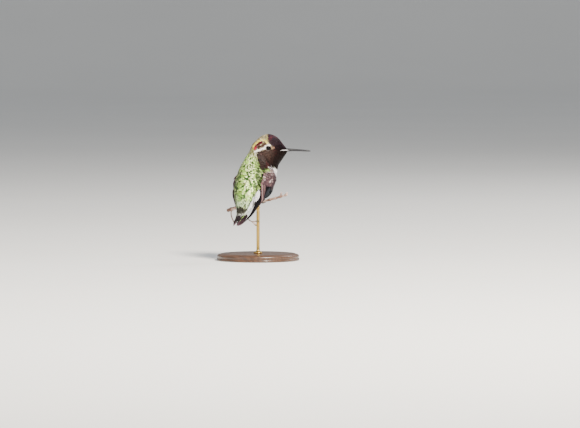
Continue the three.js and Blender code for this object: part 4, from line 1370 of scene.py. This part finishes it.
# Colours of the wing's small feathers by place: warm brown, some green at the shoulder, pale
# upper feathers that are painted highlight, a dark front part toward the leading edge that is painted shade,
# and dark edges that are painted shadow between the feathers.
def covertMarks(at, across, luck):
    p = plumage
    mid = np.broadcast_to(p["covert"], at.shape + (3,))
    mid = lay(mid, p["covertDark"], 0.85 * ease(luck, 0.5, 0.25))
    # Painted highlight: some upper coverts turned pale.
    mid = lay(mid, p["covertEdge"], 0.6 * ease(luck, 0.6, 0.9) * ease(at, 2.6, 2.0))
    # Painted shade: coverts toward the leading edge darkened.
    front = ease(across, 0.34, 0.12) * ease(at, 0.7, 1.6) * ease(luck, 0.95, 0.85)
    mid = lay(mid, p["covertDark"] * 0.5, 0.85 * front)
    green = ease(at + 0.5 * luck, 1.15, 0.7) * ease(across, 0.45, 0.8)
    mid = lay(mid, p["shoulderGreen"], green)
    # Painted shadow: dark edges between the feathers, except at the green shoulder.
    edge = lay(blend(p["covertDark"], mid * 0.8, 0.15), mid * 1.2, green)
    return mid, edge, 0.03 + 0.3 * green


# Roots in rows across a surface; every second row is set back by half a step.
def gridRoots(alongs, acrosses, count, jitter=0.12):
    low, high = acrosses
    row, k = np.meshgrid(np.arange(len(alongs)), np.arange(count), indexing="ij")
    spots = low + (high - low) * (k + 0.5 * (row % 2)) / (count - 0.5)
    roots = np.stack([np.asarray(alongs, float)[row], spots], -1).reshape(-1, 2)
    roots[:, 1] += random.normal(0, jitter * (high - low) / count, len(roots))
    roots[:, 0] = np.maximum(roots[:, 0] + random.normal(0, 0.03, len(roots)), 0.0)
    return roots


# Ten primaries fan out from the wrist, with the secondaries and tertials over them.
def makeFlightFeathers(surface, hand, name):
    material = featherMaterial("flightFeather" + name, 0.13, (0.5, 0.65), 0.12, 0.04, 0.04)
    primaries, secondaries = [], []
    w = wingForm
    for k, tip in enumerate(w["primaryTips"]):
        centre = lineFrom(*(start + step * k for start, step in w["primaryFan"]), -0.04)
        primaries.append(quill(surface, 0.9, tip, centre, 0.75 + 0.03 * k, 1.9, -0.30 + 0.055 * k, slope=0.16,
                               blunt=2.2, seed=11 * k + 3, tipPull=0.06))
    for k, (tip, across) in enumerate(w["secondaryTips"]):
        centre = lineFrom(0.60 + 0.045 * k, across, 0.09 - 0.008 * k)
        secondaries.append(quill(surface, 1.4, tip, centre, 1.1, 1.3, 0.05 + 0.08 * k, slope=0.16, blunt=1.8,
                                 seed=17 * k + 5, tipPull=0.2, bounds=(-0.04, 1.03)))
    for kind, quills, colours in (("primaries", primaries, paintPrimaries),
                                  ("secondaries", secondaries, paintSecondaries)):
        quillPiece(kind + name, quills, colours, material, [f"wing_{name.lower()}_{kind}"], hand > 0)


# The wing's own flesh: a closed shell under the coverts, rounded off at its sides and its end.
def makeWingFlesh(surface, hand, name):
    reach = wingForm["fleshReach"]
    along = np.linspace(0.0, reach, 36)[:, None]
    across = np.concatenate([np.linspace(-0.03, 1.0, 26), np.linspace(1.0, -0.03, 26)[1:-1]])[None, :]
    lower = np.concatenate([np.zeros(26), np.ones(24)])[None, :]
    place, normal = surface(*np.broadcast_arrays(along, across))[:2]
    rounding = (np.sqrt(np.clip(1 - (2 * np.clip(across, 0, 1) - 1) ** 6, 0, 1))
                * np.sqrt(np.clip(1 - (along / reach) ** 8, 0, 1)))
    height = np.where(lower > 0, -0.75, -0.65 + (wingTop(along) - 0.1) * rounding)
    height = np.maximum(height, -0.7 - 0.1 * lower)
    points, faces = closedTube(place + normal * height[..., None])
    material = noiseMaterial("wingFlesh" + name, (900, 3, 0.7, 1.2),
                             colour=tuple(plumage["covertDark"] * 0.6), Roughness=0.75)
    addPiece("wingFlesh" + name, toFrame(points), faces, material, "wing_coverts",
             [f"wing_{name.lower()}_coverts"], flip=hand > 0)


# Rows of coverts, then the small ones round the leading edge. Each row is a list of roots,
# length, half width, height of the root and height of the tip.
def makeCoverts(surface, hand, name):
    rows = []
    for k, (along, count, length, wide) in enumerate(wingForm["coverts"]):
        roots = gridRoots([along], (0.03 + 0.05 * (k % 2), 0.95 + 0.05 * (k % 2)), count)
        rows.append((roots, length * (0.93 + 0.1 * np.sin(math.pi * roots[:, 1])), np.full(count, wide),
                     wingTop(roots[:, 0]), wingTop(roots[:, 0] + length / 5.8) + 0.02 * k))
    e = wingForm["edgeCoverts"]
    roots = gridRoots(np.linspace(*e["alongs"]), e["acrosses"], e["count"])
    many = len(roots)
    height = 0.1 + 0.4 * ease(roots[:, 1], -0.1, 0.05) - 0.4 * ease(roots[:, 0], 0.8, 0.0)
    rows.append((roots, np.full(many, e["length"]), np.full(many, e["half"]), height, height + 0.1))
    roots, size, half, height, tipHeight = (np.concatenate(values) for values in zip(*rows))
    many = len(roots)
    size, half = size * random.uniform(0.92, 1.08, many), half * random.uniform(0.92, 1.1, many)
    marks = covertMarks(roots[:, 0] + size / 6, roots[:, 1], random.uniform(0, 1, many))
    plantFeathers("coverts" + name, surface, roots, size, half, 0.1, tipHeight, marks,
                  featherMaterial("covertFeather" + name, 0.16, (0.42, 0.6), 0.2, 0.05, 0.15),
                  "wing_coverts", covertVanes, twist=random.normal(0, 0.05, many),
                  roll=-0.10 + random.normal(0, 0.03, many), unwrap=(9.5, 1.4), flip=hand > 0, base=height,
                  camber=0.14)


for hand, name in ((1, "Left"), (-1, "Right")):
    surface = frameOf(wingPlace(hand), side=-hand)
    makeFlightFeathers(surface, hand, name)
    makeWingFlesh(surface, hand, name)
    makeCoverts(surface, hand, name)
print("wings made")


tailForm = {
    "eachSide": 5,
    "root": (-18.0, 0.0, -7.2),
    "tip": (-25.8, 0.0, -16.3),
    "halfWidth": 1.55,
    "layerStep": 0.55,
    "sideStep": 0.42,
    "shorter": [0.3, 0.4, 0.8, 1.4, 2.2],
}


# Tail: green in its middle pair, a painted sheen in streaks beside the shafts, darker edges, and pale tips.
def paintTail(k, at, s, u):
    p = plumage
    pair = k // 2
    tint = np.broadcast_to(p["tail"], u.shape + (3,)).copy()
    if pair == 0:
        tint = lay(tint, p["tailGreen"], 0.75 * ease(s, 0.95, 0.4))
    # Painted sheen: a paler streak along each web beside the shaft.
    streak = ease(np.abs(u - (0.35 if k % 2 else -0.35)), 0.42, 0.18) * ease(s, 0.35, 0.6)
    tint = lay(tint, p["tailPaintedSheen"], 0.8 * streak)
    tint = lay(tint, p["vaneEdge"], 0.7 * ease(np.abs(u), 0.8, 0.97))
    tint = lay(tint, p["tailTip"], ease(s, 0.965 - 0.02 * pair, 0.995) * (0.35 + 0.12 * pair))
    tint = lay(tint, p["shaft"], 0.7 * np.exp(-(u / 0.09) ** 2))
    return tint, np.full(u.shape, 0.06)


# Each tail feather has its own surface: straight along the tail's way, set out to its side
# and lower for each pair, and drooping a little toward its tip and its sides.
def makeTail():
    f = tailForm
    root, tip, out = np.array(f["root"]), np.array(f["tip"]), np.array([0, 1.0, 0])
    length = np.linalg.norm(tip - root)
    way = (tip - root) / length
    face = np.cross(out, way)
    face = face if face[0] < 0 else -face
    material = featherMaterial("tailFeather", 0.14, (0.45, 0.6), 0.12, 0.04, 0.06)

    def tailPlace(hand, pair, own):
        aside = f["halfWidth"] + 0.15 + pair * f["sideStep"]

        def place(at, across):
            share = at / own
            droop = -pair * f["layerStep"] * (1 - 0.2 * share) - 0.6 * share ** 2 - 0.075 * across ** 2
            sidewise = hand * (aside * (1 - 0.12 * share) + across)
            return root + way * at[..., None] + out * sidewise[..., None] + face * droop[..., None]
        return place

    for hand, name in ((1, "left"), (-1, "right")):
        for pair in range(f["eachSide"]):
            own = length - f["shorter"][pair]
            surface, side = frameFacing(tailPlace(hand, pair, own), face, own / 2, 0.0, own)
            made = quill(surface, 0.0, own, lineFrom(0.0, 0.0), 1.35, 1.75, 0.0, slope=0.05, thick=0.22,
                         blunt=1.8, seed=7 * pair + hand + 40, bounds=(-9, 9), tipPull=0.16, notches=2)

            def colours(k, at, s, u):
                return paintTail(2 * pair + (hand < 0), at, s, u)

            quillPiece(f"tailFeather{name.title()}{pair + 1}", [made], colours, material,
                       [f"tail_{name}_{pair + 1}"], side < 0)


makeTail()
print("tail made")


billForm = {
    "root": (20.4, 37.35),
    "tip": (40.6, 36.6),
    "rise": 0.25,
    "depth": [2.5, 2.2, 1.72, 1.5, 1.34, 1.2, 0.92, 0.42],
    "width": [3.2, 2.8, 2.15, 1.8, 1.55, 1.35, 1.0, 0.40],
    "shares": [0, 0.18, 0.36, 0.52, 0.68, 0.84, 0.965, 1.0],
    "split": 0.12,
    "colour": "#0f0f14",
    "edgeColour": "#2b2a33",
    "gapeHighlight": "#d9d4d6",
    "gape": [(18.7, 37.25), (19.7, 37.3), (20.9, 37.3), (22.1, 37.25), (23.4, 37.15), (24.6, 37.08)],
    "gapeRadius": [0.05, 0.2, 0.3, 0.34, 0.3, 0.16],
    "nostril": 24.3,  # the nostril's middle, and how far round from the lip it and its groove lie
    "nostrilTurn": 0.5,
    "grooveTurn": 0.55,
}


# Each mandible is a half round carried along the bill: across as a cosine, up as a sine, with
# a fine ridge along the top of the upper one and a lip where the two meet. The upper one has
# the nostril's slit and the groove ahead of it.
def makeBill():
    b = billForm
    share = np.linspace(0, 1, 90)
    depth, width = (np.interp(share, b["shares"], b[key]) for key in ("depth", "width"))
    x, z = (blend(b["root"][i], b["tip"][i], share) for i in (0, 1))
    z = z + b["rise"] * np.sin(math.pi * share)
    material = noiseMaterial("billHorn", (1200, 4, 0.75, 1.3, (0.25, 0.25, 1.6)), (900, 3, 0.26, 0.46),
                             (0.35, 0.00005, (2200, 4, 0, 1, (0.2, 0.2, 1.8))),
                             **{"Coat Weight": 0.06, "Coat Roughness": 0.25, "Specular IOR Level": 0.25})
    columns = 25
    turn = np.linspace(0, math.pi, columns)
    fromLip = np.minimum(turn, math.pi - turn)
    lip = np.exp(-(fromLip / 0.16) ** 2)
    for upper, name, node in ((1, "billUpper", "bill_upper"), (-1, "billLower", "bill_lower")):
        mouth = z - b["split"] * depth + upper * 0.035
        edge = z + upper * depth / 2
        wide = width * (1 if upper > 0 else 0.9)
        keel = 1 + 0.05 * np.exp(-((turn - math.pi / 2) / 0.2) ** 2) * upper
        y = wide[:, None] / 2 * np.sign(np.cos(turn)) * np.abs(np.cos(turn)) ** 0.9
        height = mouth[:, None] + (edge - mouth)[:, None] * np.sin(turn) ** 0.9 * keel
        y = y * (1 + 0.05 * lip)
        if upper > 0:
            ahead = (x - b["nostril"])[:, None]
            slit = np.exp(-((fromLip - b["nostrilTurn"]) / 0.16) ** 2) * np.exp(-(ahead / 1.5) ** 4)
            groove = np.exp(-((fromLip - b["grooveTurn"]) / 0.2) ** 2) * ease(ahead, 7, 1)
            y = y * (1 - 0.10 * slit - 0.04 * groove)
        places = np.stack([np.repeat(x[:, None], columns, 1), y, height], -1)
        flat = np.stack([x, np.zeros_like(x), mouth], -1)[:, None]
        inner = flat + (places[:, -1:] - flat) * np.array([0.5, 0, -0.5])[:, None]
        rings = turnHead(np.concatenate([places, inner], 1))
        points, faces = closedTube(rings)
        tint = np.broadcast_to(tone(b["colour"]), rings.shape).copy()
        tint[:, :columns] = blend(tint[:, :columns], tone(b["edgeColour"]), lip[None, :, None] * 0.8)
        # Painted highlight: the lip is paler toward the bill's root.
        gape = ease(x, 25.2, 23.4)[:, None] * ease(fromLip, 0.4, 0.15)[None, :]
        tint[:, :columns] = lay(tint[:, :columns], tone(b["gapeHighlight"]), 0.55 * gape)
        addPiece(name, toFrame(points), faces, material, "bill", [node], flip=upper < 0,
                 tints={"tint": tubeTint(tint)})


# The gape: a smooth ridge on each side from the bill back into the face, where the feathers
# stop. It follows the coat, whose half width is read there as a weighted mean. Its upper side is painted pale
# toward the bill: a painted highlight.
def makeGape():
    b = billForm
    material = noiseMaterial("gapeHorn", (1500, 3, 0.8, 1.2), Roughness=0.25, **{"Coat Weight": 0.4})
    steps = np.linspace(0, len(b["gape"]) - 1, 40)
    way = curveThrough(np.array(b["gape"]), steps)
    radii = np.interp(steps, np.arange(len(b["gapeRadius"])), b["gapeRadius"])
    at, angle = np.meshgrid(np.linspace(0, 3, 80), np.linspace(0.8, 2.4, 80), indexing="ij")
    coat = straightPoint(at, angle)[0].reshape(-1, 3)
    weight = np.exp(-((way[:, None] - coat[None, :, [0, 2]]) ** 2).sum(-1) / 0.12)
    out = (weight * np.abs(coat[:, 1])).sum(1) / np.maximum(weight.sum(1), 1e-9)
    bill = np.interp(way[:, 0], blend(b["root"][0], b["tip"][0], np.array(b["shares"])), b["width"]) / 2
    out = blend(out, bill, ease(way[:, 0], 22.6, 24.2)) - 0.04
    for hand, name in ((1, "Left"), (-1, "Right")):
        path = turnHead(np.stack([way[:, 0], hand * out, way[:, 1]], -1))
        rings = tubeRings(path, radii, 16)
        points, faces = closedTube(rings)
        # Painted highlight: the ridge's upper side pale toward the bill.
        top = ease(rings[..., 2] - path[:, None, 2], -0.12, 0.0)[..., None]
        pale = top * ease(way[:, 0], 24.8, 22.5)[:, None, None]
        tint = blend(tone(b["colour"]), tone(b["gapeHighlight"]), pale)
        addPiece("gape" + name, toFrame(points), faces, material, "bill", tints={"tint": tubeTint(tint)})


makeBill()
makeGape()
print("bill made")


twigForm = {
    "left": 29.0, "right": -27.6, "radius": (1.25, 0.62), "slope": 0.234, "droop": -0.42, "around": 28,
    "joints": [25.6, 13, -11.5, -16.5, -21, -26.3],
    "shoots": [
        ((25.6, None), [(-0.8, 24.6, -10.6), (-1.2, 22.6, -14), (-0.6, 21.2, -17)], [0.5, 0.4, 0.45, 0.3]),
        ((13, None), [(-1.6, 9, -11), (-3, 3.4, -14.2), (-3.6, -1.6, -14), (-3.8, -5.2, -13.6)],
         [0.5, 0.42, 0.38, 0.36, 0.6, 0.3]),
        ((None, (-3, 3, -14.3)), [(-3.4, 0.4, -15.8), (-3.6, -2.2, -17.2)], [0.36, 0.34, 0.62, 0.3]),
        ((-21, None), [(0.9, -22, 7.4)], [0.45, 0.5, 0.28]),
        ((-26.3, None), [(0.3, -27.8, 7.6)], [0.5, 0.62, 0.28]),
    ],
    "barkPale": "#d9bfb0", "bark": "#a98775", "barkDark": "#5b4238", "wood": "#d8c09a", "pith": "#8d7352",
    "bud": "#c79a90", "greenBud": "#56653a",
    "woodRings": [0.2, 0.45, 0.7, 0.92],
}


# The twig's middle line: it falls by its slope and sways a little.
def twigMiddle(y):
    f = twigForm
    return np.stack([np.full(np.shape(y), 0.5), y, f["droop"] - f["slope"] * y + 0.35 * np.sin(y / 9)], -1)


# It narrows from left to right and swells at each joint.
def twigRadius(y):
    f = twigForm
    share = (f["left"] - y) / (f["left"] - f["right"])
    return (f["radius"][0] + (f["radius"][1] - f["radius"][0]) * share
            + sum(0.35 * np.exp(-((y - joint) / 0.8) ** 2) for joint in f["joints"]))


# Bark on a tube: long ridges that wander, and small raised pores.
def barkRadius(radius, turn, run, seed):
    ridges = 0.045 * np.sin(turn * 9 + 2.2 * np.sin(run * 0.35 + seed) + seed)
    ridges = ridges + 0.03 * np.sin(turn * 17 - run * 0.9 + 2 * seed)
    place = np.stack([np.cos(turn) * 1.2, np.sin(turn) * 1.2, run * 0.8], -1)
    knots = np.clip(wander(place, 1.5, 12 + int(seed)) - 0.75, 0, 1) * 0.28
    return radius * (1 + ridges) + knots * radius


# A tube with bark on it. Returns its rings and its bark's colour.
def barkTube(middle, radius, turn, run, seed, joint, up=(0, 0, 1)):
    columns = turn.shape[-1]
    rough = barkRadius(np.ones((len(middle), 1)), turn + 0 * run, run + 0 * turn, seed)
    rings = tubeRings(middle, radius[:, None] * rough, columns, up=up)
    return rings, barkTint(rough - 1, rings, seed, joint)


# The twig's left end is a clean cut, with rings drawn in over a flat face; its right end
# closes as a tip. The shoots end in buds.
def makeTwig():
    f = twigForm
    turn = np.linspace(0, 2 * math.pi, f["around"], endpoint=False)[None, :]
    y = np.linspace(f["left"], f["right"], 300)
    joint = np.min(np.abs(y[:, None] - np.array(f["joints"])), axis=1)
    rings, bark = barkTube(twigMiddle(y), twigRadius(y), turn, (f["left"] - y)[:, None], 1, joint)
    inward = np.array([0.8, 0.55, 0.3, 0.06])[:, None, None]
    cut = rings[0] + (rings[0].mean(0) - rings[0]) * inward
    cut = cut + np.array([0, 1, -f["slope"]]) * np.array([0.03, 0.03, 0.03, 0.02])[:, None, None]
    sets = [closedTube(np.concatenate([cut, rings]))]
    face = np.stack([blend(tone(f["pith"]), tone(f["wood"]), 0.3 + 0.7 * r) * (0.85 + 0.15 * math.cos(30 * r))
                     for r in f["woodRings"]])
    tints = [np.repeat(face, f["around"], 0), bark.reshape(-1, 3), [tone(f["pith"])], [bark[-1, 0]]]
    share = np.linspace(0, 1, 70)
    for k, ((joint, base), path, radii) in enumerate(f["shoots"]):
        start = twigMiddle(np.array(float(joint))) if base is None else np.array(base)
        spots = np.concatenate([[start], np.array(path, float)])
        middle = curveThrough(spots, share * (len(spots) - 1))
        sway = np.stack([np.sin(share * 11 + k), np.cos(share * 9 + 2 * k), 0 * share], -1)
        middle = middle + 0.12 * sway * share[:, None]
        radius = curveThrough(np.array(radii)[:, None], share * (len(radii) - 1))[:, 0]
        radius = radius * np.sqrt(np.clip(1 - share ** 24, 0.05, 1))
        rings, bark = barkTube(middle, radius, turn[:, ::2], share[:, None] * 12, k + 2, np.full(70, 9.0),
                               up=(0.1, 0.3, 1))
        sets.append(closedTube(rings))
        budEnd = ease(share, 0.72, 0.9)[:, None, None]
        tints.append(tubeTint(blend(bark, tone(f["bud"] if k > 2 else f["greenBud"]), 0.7 * budEnd)))
    points, faces = joinSets(sets)
    material = noiseMaterial("twigBark", (1600, 5, 0.72, 1.28, (1, 0.4, 1)), (1100, 3, 0.6, 0.9),
                             (0.6, 0.00009, (2600, 5, 0, 1, (1.4, 0.25, 1.4))),
                             **{"Specular IOR Level": 0.35})
    addPiece("twig", toFrame(points), faces, material, "bark", ["perch_twig"],
             tints={"tint": np.concatenate(tints)})


# Bark colour: pale in wandering patches and dark in the furrows, darker at the joints.
def barkTint(rough, rings, seed, joint):
    f = twigForm
    patch = wander(rings, 5.0, 21 + int(seed))[..., None]
    colour = blend(tone(f["bark"]), tone(f["barkPale"]), ease(patch, -0.1, 0.7))
    colour = blend(colour, tone(f["barkDark"]), 0.75 * ease(-rough, 0.01, 0.07)[..., None])
    colour = blend(colour, tone(f["barkDark"]), 0.6 * ease(-patch, 0.35, 0.8))
    return blend(colour, tone(f["barkDark"]), (0.55 * ease(joint, 0.9, 0.2))[:, None, None])


makeTwig()
print("twig made")


footForm = {
    "side": 5.0, "toe": 0.42, "shank": 0.55, "gap": 0.06,
    # each toe's lean along the twig, and its start and sweep round it in radians
    "toes": [(0, 1.45, -3.3), (1.15, 1.45, -2.9), (-1.15, 1.45, -2.9), (0.1, 1.75, 2.3)],
    "skin": "#2a2322", "scute": "#4a403c", "claw": "#0d0b0b",
}


# A toe lies round the twig from its top, leaning along it and sweeping round by an angle;
# its scales are small steps in its radius along its upper side, and the claw is a cone that
# bends back to the bark. The shank goes up from the toes into the feathers.
def makeFoot(hand, name):
    f = footForm
    sets, tints = [], []

    def onTwig(y, sweep, lift):
        reach = twigRadius(y) + lift
        return twigMiddle(y) + np.stack([reach * np.cos(sweep), 0 * y, reach * np.sin(sweep)], -1)

    def addScaled(path, radius, share, scales, sides, up):
        sets.append(closedTube(tubeRings(path, radius, sides, up=up)))
        stripe = np.abs(np.sin(share * math.pi * scales))[:, None] ** 2
        colour = blend(tone(f["skin"]), tone(f["scute"]), stripe)
        tints.append(tubeTint(np.repeat(colour[:, None], sides, 1)))

    foot = f["side"] * hand
    share, clawShare = np.linspace(0, 1, 60), np.linspace(0, 1, 24)
    for lean, start, sweep in f["toes"]:
        y = foot + lean * np.minimum(share * 1.6, 1)
        radius = f["toe"] * np.interp(share, [0, 0.25, 0.5, 0.75, 1], [1.05, 1.0, 0.92, 0.84, 0.72])
        joints = np.exp(-((share * 3 % 1 - 0.9) / 0.1) ** 2)
        steps = 1 + 0.09 * np.abs(np.sin(share * math.pi * 9)) + 0.10 * joints
        path = onTwig(y, start + sweep * share * 0.86, f["gap"] + radius)
        addScaled(path, radius * steps, share, 9, 14, (0, 1, 0.01))
        bend = start + sweep * (0.84 + 0.20 * clawShare)
        lift = f["gap"] + 0.34 + 0.42 * np.sin(clawShare * math.pi * 0.9) - 0.42 * clawShare
        radius = 0.30 * np.sqrt(np.clip(1.02 - clawShare, 0, 1))
        path = onTwig(np.full(24, y[-1]), bend, lift)
        sets.append(closedTube(tubeRings(path, radius, 12, up=(0, 1, 0.01))))
        tints.append(np.broadcast_to(tone(f["claw"]), (len(sets[-1][0]), 3)))
    top = onTwig(np.array([foot]), np.array([1.6]), f["gap"] + f["toe"])[0]
    spots = np.array([top + (0.0, 0, -0.2), top + (0.4, 0.3 * hand, 1.8), top + (1.6, 0.5 * hand, 4.4)])
    share = np.linspace(0, 1, 40)
    radius = f["shank"] * np.interp(share, [0, 0.12, 0.3, 1], [1.25, 1.05, 0.92, 1.15])
    steps = 1 + 0.06 * np.abs(np.sin(share * math.pi * 7))
    addScaled(curveThrough(spots, share * 2), radius * steps, share, 7, 16, (0, 1, 0))
    points, faces = joinSets(sets)
    material = noiseMaterial("footScales" + name, (2600, 3, 0.7, 1.3), (2000, 2, 0.42, 0.66),
                             **{"Coat Weight": 0.15, "Coat Roughness": 0.3})
    addPiece("foot" + name, toFrame(points), faces, material, "foot_skin", [f"leg_{name.lower()}"],
             tints={"tint": np.concatenate(tints)})


for hand, name in ((1, "Left"), (-1, "Right")):
    makeFoot(hand, name)
print("feet made")


standForm = {
    "radius": 30.0, "height": 5.0, "woodDark": "#3d281b", "wood": "#644229",
    "rodRadius": 1.2, "collarRadius": 3.2, "brass": "#c6a45a",
    "perchHeight": 42.0, "cradleLength": 3.4, "cradleWall": 0.7, "cradleCorner": 0.16, "gap": 0.3,
}


# A profile of (radius, height) turned about the upright axis, closed at both ends.
def turned(profile, columns=128):
    profile = np.array(profile, float)
    turn = np.linspace(0, 2 * math.pi, columns, endpoint=False)
    rings = np.stack([profile[:, :1] * np.cos(turn), profile[:, :1] * np.sin(turn),
                      np.repeat(profile[:, 1:], columns, 1)], -1)
    return closedTube(rings)


# Points on an arc of a profile, its angles in degrees.
def arc(x, z, radius, first, last, count=9):
    angle = np.linspace(first, last, count) * deg
    return [(x + radius * math.cos(a), z + radius * math.sin(a)) for a in angle]


# Walnut: a wave figure and a warp mixed into two browns, with fine dark pores drawn out
# along the grain.
def walnutMaterial():
    material, tree, shader = newMaterial("walnut", **{"Coat Weight": 0.35, "Coat Roughness": 0.18})
    place = addNode(tree, "ShaderNodeTexCoord").outputs["Object"]

    def stretched(scale):
        return addNode(tree, "ShaderNodeMapping", {"Vector": place, "Scale": scale}).outputs[0]

    def noise(vector, scale, detail):
        settings = {"Vector": vector, "Scale": scale, "Detail": detail}
        return addNode(tree, "ShaderNodeTexNoise", settings).outputs["Fac"]

    grain = stretched((9, 1.1, 9))
    warp = noise(grain, 18.0, 5.0)
    waves = {"Vector": grain, "Scale": 14.0, "Distortion": 7.0, "Detail": 3.0, "Detail Scale": 1.6}
    figure = addNode(tree, "ShaderNodeTexWave", waves).outputs["Fac"]
    pores = noise(stretched((30, 2.2, 30)), 90.0, 3.0)
    figure, warp = mathNode(tree, "MULTIPLY", figure, 0.55), mathNode(tree, "MULTIPLY", warp, 0.45)
    ramp = addNode(tree, "ShaderNodeValToRGB", {"Fac": mathNode(tree, "ADD", figure, warp)})
    for stop, position, colour in zip(ramp.color_ramp.elements, (0.05, 0.95), ("woodDark", "wood")):
        stop.position = position
        stop.color = (*tone(standForm[colour]), 1)
    darker = mapRange(tree, pores, 0.36, 0.52, 0.55, 1.0)
    tree.links.new(timesGrey(tree, ramp.outputs[0], darker), shader.inputs["Base Color"])
    tree.links.new(mapRange(tree, pores, 0.3, 0.7, 0.5, 0.3), shader.inputs["Roughness"])
    addBump(tree, shader, 0.2, 0.00008, pores)
    return material


# The half ring under the twig: a section with rounded corners, swept from one side of the
# twig under it to the other, and tilted to the twig's slope.
def cradleShell(inner, outer):
    s = standForm
    sweep = np.linspace(-4, -176, 64) * deg
    corner = s["cradleCorner"]
    half = s["cradleLength"] / 2 - corner
    outline = []
    for across, middle, first in ((half, outer - corner, 0), (-half, outer - corner, 90),
                                  (-half, inner + corner, 180), (half, inner + corner, 270)):
        outline += arc(across, middle, corner, first, first + 90, 6)
    across, out = np.array(outline).T
    rings = np.stack([out * np.cos(sweep)[:, None], np.repeat(across[None], len(sweep), 0),
                      out * np.sin(sweep)[:, None]], -1)
    tilt = -math.atan(twigForm["slope"])
    rings = np.stack([rings[..., 0], rings[..., 1] * math.cos(tilt) - rings[..., 2] * math.sin(tilt),
                      rings[..., 1] * math.sin(tilt) + rings[..., 2] * math.cos(tilt)], -1)
    return closedTube(rings + np.array([0, 0, s["perchHeight"]]))


# The base is one turned profile, foot to top, and the rod another, with its collar and neck.
def makeStand():
    s = standForm
    r, h = s["radius"], s["height"]
    foot = [(0.4, 0), (r - 2.4, 0)] + arc(r - 0.9, 0.9, 0.9, -90, 20)
    groove = [(r - 0.35, 1.35), (r - 0.62, 1.62), (r - 0.62, 1.8), (r - 0.3, 2.05)]
    rim = arc(r - 1.6, 3.1, 1.3, -20, 78)
    rim = rim + [(r - 2.0, 4.45), (r - 2.5, 4.52), (r - 2.75, 4.72), (r - 3.1, 4.96)]
    top = [(r - 3.6, h)] + [(r * k, h) for k in (0.8, 0.6, 0.4, 0.2)] + [(0.4, h)]
    wood = walnutMaterial()
    brass = noiseMaterial("brushedBrass", (300, 4, 0.86, 1.1), (900, 4, 0.22, 0.42, (1, 1, 0.12)),
                          (0.15, 0.00003, (5200, 2, 0, 1, (1, 1, 0.04))), colour=tuple(tone(s["brass"])),
                          Metallic=1.0)
    base = turned(foot + groove + rim + top)

    g, c, q = s["gap"], s["collarRadius"], s["rodRadius"]
    inner = float(twigRadius(np.array(0.0))) + g
    outer = inner + s["cradleWall"]
    low = h + g
    high = s["perchHeight"] - outer * math.hypot(1, twigForm["slope"]) - g
    collar = [(0.2, low - g), (c - 0.25, low - g), (c, low), (c, low + 0.45), (c - 0.2, low + 0.7),
              (c - 0.75, low + 0.82), (c - 0.95, low + 1.0), (q + 0.55, low + 1.3), (q + 0.2, low + 1.62)]
    shaft = [(q, low + 2.1 + (high - low - 4.2) * k / 12) for k in range(13)]
    neck = [(q + 0.28, high - 1.9), (q + 0.36, high - 1.55), (q + 0.28, high - 1.2), (q, high - 1.05),
            (q, high + g * 0.9), (0.2, high + g)]
    rod = turned(collar + shaft + neck, 48)
    for name, (points, faces), material, node, slot in (
            ("standBase", base, wood, "stand_base", "stand_wood"),
            ("standRod", rod, brass, "stand_rod", "stand_brass"),
            ("standCradle", cradleShell(inner, outer), brass, "stand_cradle", "stand_brass")):
        addPiece(name, points * mm, faces, material, slot, [node])


makeStand()
print("stand made")
